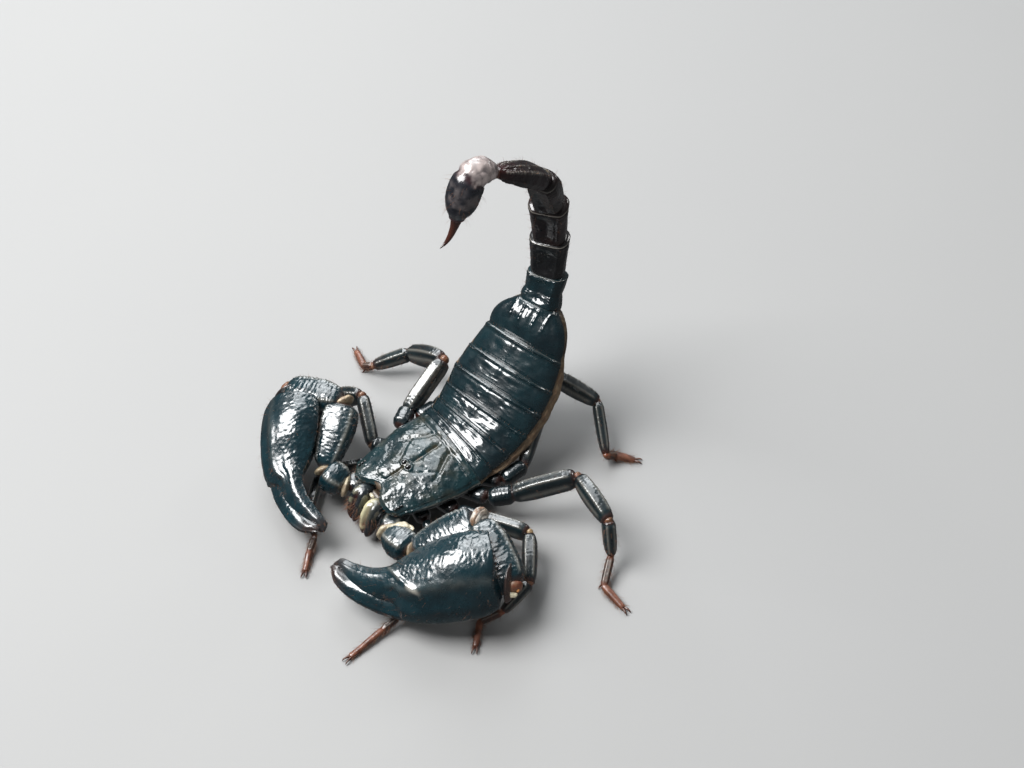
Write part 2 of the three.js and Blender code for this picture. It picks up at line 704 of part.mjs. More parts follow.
for (const [name, j] of Object.entries(PALPS)) {
  const p = Object.fromEntries(
    ["coxa", "trochanter", "femur", "patella", "tip"].map((k) => [k, v3(j[k])]),
  );
  add(
    "palp_trochanter_" + name,
    mitre(limb(p.coxa, p.trochanter, PALP_TROCHANTER), v3(j.base), p.coxa, p.trochanter, p.femur),
    "claw_gloss",
  );
  add(
    "palp_femur_" + name,
    mitre(limb(p.trochanter, p.femur, PALP_FEMUR), p.coxa, p.trochanter, p.femur, p.patella),
    "claw_gloss",
  );
  add(
    "palp_patella_" + name,
    mitre(limb(p.femur, p.patella, PALP_PATELLA), p.trochanter, p.femur, p.patella, null),
    "claw_gloss",
  );
  // hand frame: a along it, h outward and level, v upward
  const a = p.tip.clone().sub(p.patella).normalize();
  const len = p.tip.distanceTo(p.patella);
  const h = UP.clone().cross(a).normalize().multiplyScalar(j.side * -1);
  if (h.y > 0) h.negate();
  const v = UP.clone().addScaledVector(a, -UP.dot(a)).normalize();
  const build = (stations) =>
    loft(
      stations.map(([t, h0, h1, v0, v1]) => {
        const c = p.patella.clone().addScaledVector(a, GAP + t * (len - GAP));
        return HAND.map(([x, y]) =>
          c
            .clone()
            .addScaledVector(h, lerp(h0, h1, (x + 1) / 2))
            .addScaledVector(v, lerp(v0, v1, (y + 1) / 2)),
        );
      }),
    );
  const swollen = HAND_STATIONS.map(([t, h0, h1, v0, v1], i) =>
    j.side > 0
      ? [t, h0 - LEFT_SWELL[i][0], h1, v0, v1 + LEFT_SWELL[i][1]]
      : [t, h0, h1, v0, v1],
  );
  add(
    "palp_hand_" + name,
    largest(
      subtract(
        build(swollen),
        build(grow(FINGER_STATIONS, 0.3)),
        limb(p.femur, p.patella, swell(PALP_PATELLA, 0.3), { g0: -0.15, g1: -0.15 }),
        limb(p.trochanter, p.femur, swell(PALP_FEMUR, 0.3), { g0: -0.15, g1: -0.15 }),
      ),
    ),
    "claw_gloss",
  );
  add("palp_finger_" + name, build(FINGER_STATIONS), "claw_gloss");
}

// ---------- walking legs
// size of each pair's feet, and how much thicker the pieces above them are
const LEG_SIZE = { 1: 0.82, 2: 0.9, 3: 1.0, 4: 1.05 };
const LEG_THICK = { 1: 1.0, 2: 1.25, 3: 1.32, 4: 1.1 };
for (const [name, joints] of Object.entries(LEGS)) {
  const foot_k = LEG_SIZE[name.at(-1)];
  const k = foot_k * LEG_THICK[name.at(-1)];
  const [t0, t1, knee, pat, tib, bas, foot] = joints.map(v3);
  const [bx, by] = COXA_BASE[name];
  const trochanter = mitre(
    limb(t0, t1, [
      [0, 0.6 * k, 0.6 * k],
      [0.25, 1.15 * k, 1.2 * k],
      [0.8, 1.15 * k, 1.25 * k],
      [1, 0.8 * k, 0.85 * k],
    ], { g1: -0.5, n: 6 }),
    V(bx, by, 3.2),
    t0,
    t1,
    null,
  );
  const femur = limb(t1, knee, [
    [0, 0.7 * k, 0.75 * k],
    [0.12, 1.0 * k, 1.3 * k],
    [0.4, 1.05 * k, 1.65 * k],
    [0.8, 1.05 * k, 1.6 * k],
    [0.94, 0.95 * k, 1.3 * k],
    [1, 0.55 * k, 0.65 * k],
  ], { g0: -0.5, n: 6 });
  add("leg_" + name + "_femur", union(trochanter, mitre(femur, null, t1, knee, pat)), "leg_gloss");
  const patella = limb(knee, pat, [
    [0, 0.55 * k, 0.65 * k],
    [0.1, 0.95 * k, 1.25 * k],
    [0.45, 1.1 * k, 1.6 * k],
    [0.85, 0.95 * k, 1.3 * k],
    [1, 0.7 * k, 0.8 * k],
  ], { g1: -0.4, n: 6 });
  const tibia = limb(pat, tib, [
    [0, 0.6 * k, 0.7 * k],
    [0.15, 0.85 * k, 1.1 * k],
    [0.5, 0.85 * k, 1.05 * k],
    [0.85, 0.72 * k, 0.85 * k],
    [1, 0.45 * k, 0.5 * k],
  ], { g0: -0.4, n: 6 });
  add(
    "leg_" + name + "_tibia",
    union(mitre(patella, t1, knee, pat, null), mitre(tibia, null, pat, tib, bas)),
    "leg_gloss",
  );
  const end = foot.clone().setZ(0.42);
  const tarsus = union(
    mitre(limb(tib, bas, [
      [0, 0.45 * foot_k, 0.45 * foot_k],
      [0.2, 0.68 * foot_k, 0.72 * foot_k],
      [0.8, 0.66 * foot_k, 0.7 * foot_k],
      [1, 0.5 * foot_k, 0.5 * foot_k],
    ], { g1: -0.4, n: 6 }), pat, tib, bas, null),
    limb(bas, end, [
      [0, 0.5 * foot_k, 0.5 * foot_k],
      [0.2, 0.64 * foot_k, 0.64 * foot_k],
      [0.7, 0.55 * foot_k, 0.55 * foot_k],
      [0.92, 0.55, 0.55],
      [1, 0.4, 0.45],
    ], { g0: -0.4, g1: 0, n: 6 }),
  );
  add("leg_" + name + "_tarsus", aboveGround(tarsus), "tarsus_brown");
}

export default scorpion;
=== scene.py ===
import math

import bpy
import numpy as np
from mathutils import Matrix, Vector


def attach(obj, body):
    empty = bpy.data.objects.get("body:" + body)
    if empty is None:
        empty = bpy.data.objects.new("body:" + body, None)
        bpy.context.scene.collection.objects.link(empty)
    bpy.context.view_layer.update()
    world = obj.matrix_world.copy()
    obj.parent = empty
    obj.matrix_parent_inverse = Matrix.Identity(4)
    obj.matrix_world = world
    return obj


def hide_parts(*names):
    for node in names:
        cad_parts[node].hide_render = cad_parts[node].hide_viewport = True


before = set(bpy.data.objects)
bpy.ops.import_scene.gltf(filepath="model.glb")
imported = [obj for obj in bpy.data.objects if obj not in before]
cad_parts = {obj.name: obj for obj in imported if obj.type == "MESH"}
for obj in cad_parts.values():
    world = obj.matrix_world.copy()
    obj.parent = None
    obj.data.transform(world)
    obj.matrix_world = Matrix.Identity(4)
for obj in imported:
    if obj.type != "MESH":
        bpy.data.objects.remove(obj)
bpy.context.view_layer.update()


MM = 0.001
SHIFT = np.array([-5.756, -2.5148, 0.0])
Z = np.array([0.0, 0.0, 1.0])
RNG = np.random.RandomState(11)


# ------------------------------------------------------------------ maths
def A(*v):
    return np.array(v, float)


def unit(v):
    v = np.asarray(v, float)
    return v / np.maximum(np.linalg.norm(v, axis=-1, keepdims=True), 1e-12)


def sstep(a, b, x):
    t = np.clip((np.asarray(x, float) - a) / (b - a), 0, 1)
    return t * t * (3 - 2 * t)


def gauss(x, m, s):
    return np.exp(-(((np.asarray(x, float) - m) / s) ** 2))


def pchip(x, y, q):
    """Smooth curve through (x, y) with no overshoot; y may have columns."""
    x = np.asarray(x, float)
    y = np.asarray(y, float)
    flat = y.ndim == 1
    if flat:
        y = y[:, None]
    h = np.diff(x)
    d = np.diff(y, axis=0) / h[:, None]
    m = np.zeros_like(y)
    for i in range(1, len(x) - 1):
        same = d[i - 1] * d[i] > 0
        w1, w2 = 2 * h[i] + h[i - 1], h[i] + 2 * h[i - 1]
        with np.errstate(divide="ignore", invalid="ignore"):
            v = (w1 + w2) / (w1 / d[i - 1] + w2 / d[i])
        m[i] = np.where(same, v, 0)
    m[0], m[-1] = d[0], d[-1]
    q = np.clip(np.asarray(q, float), x[0], x[-1])
    k = np.clip(np.searchsorted(x, q, side="right") - 1, 0, len(x) - 2)
    t = ((q - x[k]) / h[k])[:, None]
    hh = h[k][:, None]
    r = (
        (2 * t**3 - 3 * t**2 + 1) * y[k]
        + (t**3 - 2 * t**2 + t) * hh * m[k]
        + (-2 * t**3 + 3 * t**2) * y[k + 1]
        + (t**3 - t**2) * hh * m[k + 1]
    )
    return r[:, 0] if flat else r


def spline(points, q):
    """Catmull-Rom through points, q from 0 to 1."""
    p = np.asarray(points, float)
    n = len(p)
    s = np.asarray(q, float) * (n - 1)
    i = np.clip(s.astype(int), 0, n - 2)
    t = (s - i)[:, None]
    p0, p1 = p[np.maximum(i - 1, 0)], p[i]
    p2, p3 = p[i + 1], p[np.minimum(i + 2, n - 1)]
    return 0.5 * (
        2 * p1
        + (p2 - p0) * t
        + (2 * p0 - 5 * p1 + 4 * p2 - p3) * t**2
        + (3 * p1 - p0 - 3 * p2 + p3) * t**3
    )


def spline_loop(points, q):
    """The same round a closed outline, q from 0 to 1 (open end)."""
    p = np.asarray(points, float)
    n = len(p)
    s = np.asarray(q, float) * n
    i = s.astype(int) % n
    t = (s - np.floor(s))[:, None]
    p0, p1, p2, p3 = p[(i - 1) % n], p[i], p[(i + 1) % n], p[(i + 2) % n]
    return 0.5 * (
        2 * p1
        + (p2 - p0) * t
        + (2 * p0 - 5 * p1 + 4 * p2 - p3) * t**2
        + (3 * p1 - p0 - 3 * p2 + p3) * t**3
    )


def _hash(ix, iy, iz, seed):
    h = (ix * 374761393 + iy * 668265263 + iz * 1103515245 + seed * 12345 + 97) & 0xFFFFFFFF
    h = ((h ^ (h >> 13)) * 1274126177) & 0xFFFFFFFF
    return ((h ^ (h >> 16)) & 0xFFFFFF) / float(0x1000000)


def vnoise(P, cell, seed=0):
    """Smooth noise from 0 to 1 with features about cell mm across."""
    q = np.asarray(P, float) / cell + 1000.0
    i = np.floor(q).astype(np.int64)
    f = q - i
    f = f * f * (3 - 2 * f)
    out = 0
    for dx in (0, 1):
        for dy in (0, 1):
            for dz in (0, 1):
                w = (
                    (f[..., 0] if dx else 1 - f[..., 0])
                    * (f[..., 1] if dy else 1 - f[..., 1])
                    * (f[..., 2] if dz else 1 - f[..., 2])
                )
                out = out + w * _hash(i[..., 0] + dx, i[..., 1] + dy, i[..., 2] + dz, seed)
    return out


def fbm(P, cell, seed=0, octaves=3):
    out, amp, tot = 0, 1.0, 0
    for k in range(octaves):
        out = out + amp * vnoise(P, cell / 2**k, seed + k * 17)
        tot += amp
        amp *= 0.5
    return out / tot


def worley(P, cell, seed=0):
    """Distance to the nearest scattered point in cells, and that point's random number."""
    q = np.asarray(P, float) / cell + 1000.0
    i = np.floor(q).astype(np.int64)
    best = np.full(q.shape[:-1], 9.0)
    ident = np.zeros(q.shape[:-1])
    for dx in (-1, 0, 1):
        for dy in (-1, 0, 1):
            for dz in (-1, 0, 1):
                a, b, c = i[..., 0] + dx, i[..., 1] + dy, i[..., 2] + dz
                ox = a + _hash(a, b, c, seed + 1)
                oy = b + _hash(a, b, c, seed + 2)
                oz = c + _hash(a, b, c, seed + 3)
                d = np.sqrt((q[..., 0] - ox) ** 2 + (q[..., 1] - oy) ** 2 + (q[..., 2] - oz) ** 2)
                near = d < best
                best = np.where(near, d, best)
                ident = np.where(near, _hash(a, b, c, seed + 4), ident)
    return best, ident


def granules(P, cell, seed=0, share=1.0, round_=0.5):
    """Rounded grains from 0 to 1; share is how many of the cells carry one."""
    d, r = worley(P, cell, seed)
    g = np.sqrt(np.clip(1 - (d / round_) ** 2, 0, 1))
    return g * (r < share) * (0.55 + 0.45 * r / max(share, 1e-6))


def grid_normals(P, closed=True):
    du = np.gradient(P, axis=0)
    if closed:
        dv = np.roll(P, -1, 1) - np.roll(P, 1, 1)
    else:
        dv = np.gradient(P, axis=1)
    n = unit(np.cross(du, dv))
    if closed:
        c = P.mean(1, keepdims=True)
        if np.mean(np.sum(n * (P - c), -1)) < 0:
            n = -n
    return n


# ------------------------------------------------------------------ meshes
ATTRS = ("joint", "pale", "grain")


def thinner(nu, nv, closed, keep=0.78, least=3600):
    """A function that draws a large grid again with fewer rows and columns."""
    if nu * nv < least:
        return nu, nv, lambda G: G
    mu, mv = int(round(nu * keep)), int(round(nv * keep))
    iu = np.linspace(0, nu - 1, mu)
    iv = np.arange(mv) * nv / mv if closed else np.linspace(0, nv - 1, mv)
    i0 = np.clip(np.floor(iu).astype(int), 0, nu - 2)
    j0 = np.clip(np.floor(iv).astype(int), 0, nv - 1 if closed else nv - 2)
    fu, fv = iu - i0, iv - j0

    def draw(G):
        more = (1,) * (G.ndim - 2)
        G = G[i0] * (1 - fu).reshape((-1, 1) + more) + G[i0 + 1] * fu.reshape((-1, 1) + more)
        return G[:, j0] * (1 - fv).reshape((1, -1) + more) + G[:, (j0 + 1) % nv] * fv.reshape((1, -1) + more)

    return mu, mv, draw


class Build:
    """Collects closed grids and makes one mesh of them."""

    def __init__(self):
        self.v, self.q, self.t, self.a = [], [], [], {k: [] for k in ATTRS}
        self.tint, self.uv = [], []
        self.n = 0

    def _add(self, V, quads, tris, attrs, tint):
        self.v.append(V)
        if len(quads):
            self.q.append(np.asarray(quads) + self.n)
        if len(tris):
            self.t.append(np.asarray(tris) + self.n)
        for k in ATTRS:
            self.a[k].append(np.broadcast_to(np.asarray(attrs.get(k, 0.0), float), (len(V),)))
        self.tint.append(np.broadcast_to(np.asarray(tint, float), (len(V), 3)))
        self.n += len(V)

    def tube(self, P, attrs=None, tint=(1, 1, 1), caps=True):
        """P is rows of closed rings."""
        full = P.shape[:2]
        nu, nv, draw = thinner(full[0], full[1], True)
        P = draw(P)
        attrs = {
            k: draw(np.broadcast_to(np.asarray(v, float), full)).reshape(-1)
            for k, v in (attrs or {}).items()
        }
        if np.ndim(tint) == 3:
            tint = draw(np.broadcast_to(np.asarray(tint, float), full + (3,)))
        V = P.reshape(-1, 3)
        i, j = np.meshgrid(np.arange(nu - 1), np.arange(nv), indexing="ij")
        a = i * nv + j
        b = i * nv + (j + 1) % nv
        quads = np.stack([a, b, b + nv, a + nv], -1).reshape(-1, 4)
        tris = []
        if caps:
            V = np.vstack([V, P[0].mean(0), P[-1].mean(0)])
            attrs = {k: np.append(v, [v[0], v[-1]]) for k, v in attrs.items()}
            jj = np.arange(nv)
            k0, k1 = nu * nv, nu * nv + 1
            tris = np.vstack(
                [
                    np.stack([np.full(nv, k0), (jj + 1) % nv, jj], -1),
                    np.stack([np.full(nv, k1), (nu - 1) * nv + jj, (nu - 1) * nv + (jj + 1) % nv], -1),
                ]
            )
        f = np.vstack([quads[:, [0, 1, 2]], quads[:, [0, 2, 3]]] + ([tris] if caps else []))
        vol = np.sum(np.einsum("ij,ij->i", V[f[:, 0]], np.cross(V[f[:, 1]], V[f[:, 2]])))
        if vol < 0:
            quads = quads[:, ::-1]
            if caps:
                tris = tris[:, ::-1]
        if np.ndim(tint) == 3:
            tint = np.asarray(tint).reshape(-1, 3)
            if caps:
                tint = np.vstack([tint, tint[0], tint[-1]])
        self._add(V, quads, tris, attrs, tint)
        return self

    def shell(self, top, thick, attrs=None, down=None):
        """A plate: top is an open grid (rows, columns), closed underneath by a copy moved by thick along down."""
        full = top.shape[:2]
        nu, nv, draw = thinner(full[0], full[1], False)
        thick = draw(np.broadcast_to(np.asarray(thick, float), full))[..., None]
        down = draw(np.broadcast_to(np.asarray(down, float), full + (3,)))
        top = draw(top)
        bottom = top + down * thick
        m = 2 * nv
        ring = np.concatenate([top, bottom[:, ::-1]], axis=1)
        ends = [0.5 * (top[k] + bottom[k]) + (top[k] - top[k2]) * 0.25 for k, k2 in ((0, 1), (-1, -2))]
        V = np.vstack([ring.reshape(-1, 3), ends[0], ends[1]])
        at = {}
        for k, v in (attrs or {}).items():
            v = draw(np.broadcast_to(np.asarray(v, float), full))
            at[k] = np.concatenate(
                [np.concatenate([v, v[:, ::-1]], axis=1).ravel(), v[0], v[-1]]
            )
        i, j = np.meshgrid(np.arange(nu - 1), np.arange(m), indexing="ij")
        a, b = i * m + j, i * m + (j + 1) % m
        quads = [np.stack([a, b, b + m, a + m], -1).reshape(-1, 4)]
        tris = []
        c = np.arange(nv - 1)
        for row, f, first in ((0, nu * m, True), ((nu - 1) * m, nu * m + nv, False)):
            t0, b0 = row + c, row + m - 1 - c
            t1, b1 = row + c + 1, row + m - 2 - c
            f0, f1 = f + c, f + c + 1
            if first:
                quads += [np.stack([f0, f1, t1, t0], -1), np.stack([f1, f0, b0, b1], -1)]
                tris += [[f, row, row + m - 1], [f + nv - 1, row + nv, row + nv - 1]]
            else:
                quads += [np.stack([t0, t1, f1, f0], -1), np.stack([b1, b0, f0, f1], -1)]
                tris += [[row + m - 1, row, f], [row + nv - 1, row + nv, f + nv - 1]]
        quads, tris = np.vstack(quads), np.array(tris)
        f = np.vstack([quads[:, [0, 1, 2]], quads[:, [0, 2, 3]], tris])
        vol = np.sum(np.einsum("ij,ij->i", V[f[:, 0]], np.cross(V[f[:, 1]], V[f[:, 2]])))
        if vol < 0:
            quads, tris = quads[:, ::-1], tris[:, ::-1]
        self._add(V, quads, tris, at, (1, 1, 1))
        return self

    def make(self, name, material, slot=None, replaces=(), tint=False, uv=None, smooth=True):
        V = (np.vstack(self.v) + SHIFT) * MM
        quads = np.vstack(self.q) if self.q else np.zeros((0, 4), int)
        tris = np.vstack(self.t) if self.t else np.zeros((0, 3), int)
        me = bpy.data.meshes.new(name)
        me.vertices.add(len(V))
        me.vertices.foreach_set("co", V.astype(np.float32).ravel())
        loops = np.concatenate([quads.ravel(), tris.ravel()])
        me.loops.add(len(loops))
        me.loops.foreach_set("vertex_index", loops.astype(np.int32))
        starts = np.concatenate(
            [np.arange(len(quads)) * 4, len(quads) * 4 + np.arange(len(tris)) * 3]
        )
        me.polygons.add(len(starts))
        me.polygons.foreach_set("loop_start", starts.astype(np.int32))
        me.update(calc_edges=True)
        me.validate()
        me.polygons.foreach_set("use_smooth", np.full(len(me.polygons), smooth))
        for k in ATTRS:
            values = np.concatenate(self.a[k])
            if np.any(values != 0):
                me.attributes.new(k, "FLOAT", "POINT").data.foreach_set(
                    "value", values.astype(np.float32)
                )
        if tint:
            c = np.vstack(self.tint)
            c = np.hstack([c, np.ones((len(c), 1))])
            me.attributes.new("tint", "FLOAT_COLOR", "POINT").data.foreach_set(
                "color", c.astype(np.float32).ravel()
            )
        if uv is not None:
            layer = me.uv_layers.new(name="OFBake")
            idx = np.zeros(len(me.loops), np.int32)
            me.loops.foreach_get("vertex_index", idx)
            layer.data.foreach_set("uv", uv[idx].astype(np.float32).ravel())
        me.materials.append(material)
        ob = bpy.data.objects.new(name, me)
        bpy.context.scene.collection.objects.link(ob)
        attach(ob, "root")
        if replaces:
            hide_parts(*([replaces] if isinstance(replaces, str) else replaces))
        return ob


def section(n, hw, hh, k):
    """Round-cornered section; hw and hh are columns per row. Gives x, y of shape (rows, n) and the angles."""
    t = np.arange(n) / n * 2 * np.pi
    c, s = np.cos(t), np.sin(t)
    x = hw[:, None] * np.sign(c) * np.abs(c) ** k
    y = hh[:, None] * np.sign(s) * np.abs(s) ** k
    return x, y, t


def limb_axes(p0, p1, up=Z):
    a = unit(p1 - p0)
    d = unit(up - a * np.dot(up, a))
    return a, d, np.cross(a, d)


def limb(p0, p1, stations, up=Z, nu=60, nv=48, k=0.8, g0=0.05, g1=0.05, bow=0.0,
         keels=(), grain=(0.0, 0.5), grain_share=0.7, seed=0, ends=(1.0, 1.0), smooth_side=None):
    """A detailed limb piece from p0 to p1. stations are (share, half width, half height, dorsal offset).
    keels are (angle in degrees from the side, height, spread in degrees, bead period, from, to)."""
    p0, p1 = np.asarray(p0, float), np.asarray(p1, float)
    a, d, l = limb_axes(p0, p1, up)
    length = np.linalg.norm(p1 - p0)
    st = np.array([tuple(s) + (0.0,) * (4 - len(s)) for s in stations])
    # more rows near both ends
    t = 0.5 - 0.5 * np.cos(np.linspace(0, np.pi, nu))
    t = 0.5 * t + 0.5 * np.linspace(0, 1, nu)
    w = pchip(st[:, 0], st[:, 1:], t)
    # each end rounds off inside the last share of the length
    r0 = np.sqrt(np.clip(t / 0.03, 0.08, 1))
    r1 = np.sqrt(np.clip((1 - t) / 0.03, 0.08, 1))
    shape = np.minimum(r0, 1) * np.minimum(r1, 1)
    x, y, ang = section(nv, w[:, 0] * shape, w[:, 1] * shape, k)
    along = g0 + t * (length - g0 - g1)
    arch = bow * np.sin(np.pi * t)
    C = p0 + np.outer(along, a) + np.outer(w[:, 2] + arch, d)
    P = C[:, None] + x[..., None] * l + y[..., None] * d
    N = grid_normals(P)
    deg = np.degrees(ang)[None, :]
    T = t[:, None]
    lift = np.zeros(P.shape[:2])
    crest = np.zeros(P.shape[:2])
    for ka, kh, ks, kp, k0, k1 in keels:
        off = (deg - ka + 180) % 360 - 180
        bead = 1.0
        if kp:
            ph = along[:, None] / kp + 0.35 * np.sin(along[:, None] * 2.3 + ka)
            bead = 0.35 + 0.65 * np.abs(np.sin(np.pi * ph))
        e = gauss(off, 0, ks) * sstep(k0, k0 + 0.08, T) * (1 - sstep(k1 - 0.08, k1, T))
        lift += kh * e * bead
        crest = np.maximum(crest, e)
    g = np.zeros(P.shape[:2])
    if grain[0]:
        mask = sstep(0.04, 0.12, T) * (1 - sstep(0.9, 0.97, T))
        if smooth_side is not None:
            off = np.abs((deg - smooth_side + 180) % 360 - 180)
            mask = mask * sstep(35, 75, off)
        g = granules(P, grain[1], seed, grain_share) * mask
        lift += grain[0] * g
    P = P + N * lift[..., None]
    joint = np.maximum(ends[0] * (1 - sstep(0.0, 0.09, T)), ends[1] * sstep(0.9, 1.0, T))
    joint = np.broadcast_to(joint, P.shape[:2])
    return P, {"joint": joint, "pale": crest * 0.25, "grain": np.clip(g + crest, 0, 1)}


def tube_path(points, radii, up=Z, nu=60, nv=32, flat=1.0):
    q = np.linspace(0, 1, nu)
    C = spline(points, q)
    r = pchip(np.linspace(0, 1, len(radii)), np.asarray(radii, float), q)
    tan = unit(np.gradient(C, axis=0))
    d = unit(np.asarray(up) - tan * (tan @ np.asarray(up))[:, None])
    l = np.cross(tan, d)
    ang = np.arange(nv) / nv * 2 * np.pi
    P = (
        C[:, None]
        + (r[:, None] * np.cos(ang))[..., None] * l[:, None]
        + (r[:, None] * flat * np.sin(ang))[..., None] * d[:, None]
    )
    return P, q, ang, (C, tan, d, l, r)


def ellipsoid(c, axes, radii, nu=26, nv=32, folds=0, fold_depth=0.0):
    """axes rows: along, side, dorsal."""
    th = np.linspace(0.06, np.pi - 0.06, nu)
    ph = np.arange(nv) / nv * 2 * np.pi
    s = np.sin(th) * (1 + (fold_depth * np.cos(th * folds * 2) if folds else 0))
    P = (
        np.asarray(c)
        + (radii[0] * np.cos(th))[:, None, None] * axes[0]
        + (radii[1] * s[:, None] * np.cos(ph))[..., None] * axes[1]
        + (radii[2] * s[:, None] * np.sin(ph))[..., None] * axes[2]
    )
    return P


# ------------------------------------------------------------------ materials
def node(tree, kind, **values):
    n = tree.nodes.new(kind)
    for k, v in values.items():
        if k in n.inputs:
            n.inputs[k].default_value = v
        else:
            setattr(n, k, v)
    return n


def mix(tree, factor, a, b):
    m = tree.nodes.new("ShaderNodeMix")
    m.data_type = "RGBA"
    for socket, value in ((m.inputs[0], factor), (m.inputs[6], a), (m.inputs[7], b)):
        if hasattr(value, "links") or hasattr(value, "is_linked"):
            tree.links.new(value, socket)
        elif isinstance(value, (int, float)):
            socket.default_value = value
        else:
            socket.default_value = tuple(value) + (1.0,) * (4 - len(value))
    return m.outputs[2]


def math_node(tree, op, a, b=None, clamp=False):
    m = tree.nodes.new("ShaderNodeMath")
    m.operation = op
    m.use_clamp = clamp
    for socket, value in ((m.inputs[0], a), (m.inputs[1], b)):
        if value is None:
            continue
        if hasattr(value, "is_linked"):
            tree.links.new(value, socket)
        else:
            socket.default_value = value
    return m.outputs[0]


def remap(tree, value, a, b, c, d):
    m = tree.nodes.new("ShaderNodeMapRange")
    tree.links.new(value, m.inputs[0])
    for i, v in enumerate((a, b, c, d)):
        m.inputs[i + 1].default_value = v
    return m.outputs[0]


def attr(tree, name):
    n = tree.nodes.new("ShaderNodeAttribute")
    n.attribute_name = name
    return n


def cuticle(name, deep, light, joint, pale, rough=(0.22, 0.42), coat=0.35, coat_rough=0.12,
            mottle=260.0, cell=2600.0, cell_depth=0.00003, fine=7000.0, fine_depth=0.000008,
            spec=0.5, tinted=False, extra=None, wrinkle=None, coat_ior=1.5):
    """Hard shell: a deep colour clouded with a lighter one, reddish towards the joints, pale on worn crests and where
    highlights are painted in, grainy.
    """
    m = bpy.data.materials.new(name)
    m.use_nodes = True
    t = m.node_tree
    t.nodes.clear()
    out = t.nodes.new("ShaderNodeOutputMaterial")
    p = t.nodes.new("ShaderNodeBsdfPrincipled")
    t.links.new(p.outputs[0], out.inputs[0])
    co = t.nodes.new("ShaderNodeTexCoord").outputs["Object"]

    def noise(scale, detail=3.0, roughness=0.55):
        n = node(t, "ShaderNodeTexNoise", Scale=scale, Detail=detail, Roughness=roughness)
        t.links.new(co, n.inputs["Vector"])
        return n.outputs[0]

    cloud = remap(t, noise(mottle), 0.35, 0.68, 0.0, 1.0)
    base = mix(t, cloud, deep, light)
    if tinted:
        c = attr(t, "tint")
        base = mix(t, remap(t, noise(900.0), 0.35, 0.7, 0.0, 0.35), c.outputs["Color"], base)
    if extra is not None:
        blotch = remap(t, noise(extra[1]), extra[2], extra[3], 0.0, extra[4])
        base = mix(t, blotch, base, extra[0])
    j = math_node(t, "MULTIPLY", attr(t, "joint").outputs["Fac"], remap(t, noise(1400.0), 0.25, 0.6, 0.55, 1.0), True)
    base = mix(t, j, base, joint)
    base = mix(t, attr(t, "pale").outputs["Fac"], base, pale)
    t.links.new(base, p.inputs["Base Color"])
    r = remap(t, noise(650.0, 4.0), 0.3, 0.7, rough[0], rough[1])
    r = math_node(t, "ADD", r, math_node(t, "MULTIPLY", attr(t, "grain").outputs["Fac"], 0.08), True)
    t.links.new(r, p.inputs["Roughness"])
    p.inputs["Specular IOR Level"].default_value = spec
    p.inputs["Coat Weight"].default_value = coat
    p.inputs["Coat Roughness"].default_value = coat_rough
    p.inputs["Coat IOR"].default_value = coat_ior
    v = node(t, "ShaderNodeTexVoronoi", Scale=cell, Randomness=1.0)
    t.links.new(co, v.inputs["Vector"])
    grain = remap(t, v.outputs["Distance"], 0.0, 0.6, 1.0, 0.0)
    amount = math_node(t, "ADD", math_node(t, "MULTIPLY", attr(t, "grain").outputs["Fac"], 0.7), 0.3, True)
    grain = math_node(t, "MULTIPLY", grain, amount)
    b1 = node(t, "ShaderNodeBump", Strength=1.0, Distance=cell_depth)
    t.links.new(grain, b1.inputs["Height"])
    b2 = node(t, "ShaderNodeBump", Strength=1.0, Distance=fine_depth)
    t.links.new(noise(fine, 4.0, 0.6), b2.inputs["Height"])
    t.links.new(b1.outputs[0], b2.inputs["Normal"])
    last = b2
    if wrinkle:
        b3 = node(t, "ShaderNodeBump", Strength=1.0, Distance=wrinkle[1])
        w = node(t, "ShaderNodeTexWave", Scale=wrinkle[0], Distortion=6.0, Detail=2.0)
        w.wave_type = "BANDS"
        t.links.new(co, w.inputs["Vector"])
        t.links.new(w.outputs[1], b3.inputs["Height"])
        t.links.new(b2.outputs[0], b3.inputs["Normal"])
        last = b3
    t.links.new(last.outputs[0], p.inputs["Normal"])
    return m


RED = (0.07, 0.018, 0.010)
BONE = (0.62, 0.58, 0.50)
GLOSS = dict(coat=1.0, coat_rough=0.09, spec=0.55)
M_SHELL = cuticle("shell", (0.003, 0.015, 0.019), (0.008, 0.032, 0.038), (0.060, 0.045, 0.020), BONE,
                  rough=(0.2, 0.42), extra=((0.045, 0.042, 0.022), 330.0, 0.5, 0.72, 0.45), **GLOSS)
M_TERGITE = cuticle("tergite", (0.002, 0.010, 0.014), (0.004, 0.021, 0.027), (0.02, 0.015, 0.011), BONE,
                    rough=(0.18, 0.38), cell=3000.0, cell_depth=0.000022, coat_ior=1.7, **GLOSS)
M_CLAW = cuticle("claw", (0.001, 0.014, 0.020), (0.004, 0.028, 0.038), (0.07, 0.028, 0.016), BONE,
                 rough=(0.18, 0.38), cell=2600.0, cell_depth=0.00005, coat_ior=1.8, **dict(GLOSS, coat_rough=0.18))
M_LEG = cuticle("leg", (0.003, 0.009, 0.012), (0.008, 0.020, 0.024), (0.07, 0.022, 0.013), BONE,
                rough=(0.2, 0.42), cell=2800.0, cell_depth=0.00003, coat_ior=1.65, **GLOSS)
M_TAIL = cuticle("tail", (0.004, 0.004, 0.005), (0.010, 0.009, 0.010), (0.008, 0.005, 0.005), BONE,
                 rough=(0.22, 0.45), cell=2600.0, **GLOSS)
M_TAIL_DARK = cuticle("tail_far", (0.006, 0.003, 0.003), (0.018, 0.007, 0.007), (0.009, 0.004, 0.004), BONE,
                      rough=(0.22, 0.45), cell=2600.0, **GLOSS)
M_TAIL_LAST = cuticle("tail_last", (0.007, 0.003, 0.004), (0.019, 0.006, 0.007), (0.035, 0.004, 0.004), BONE,
                      rough=(0.22, 0.45), cell=2600.0, **GLOSS)
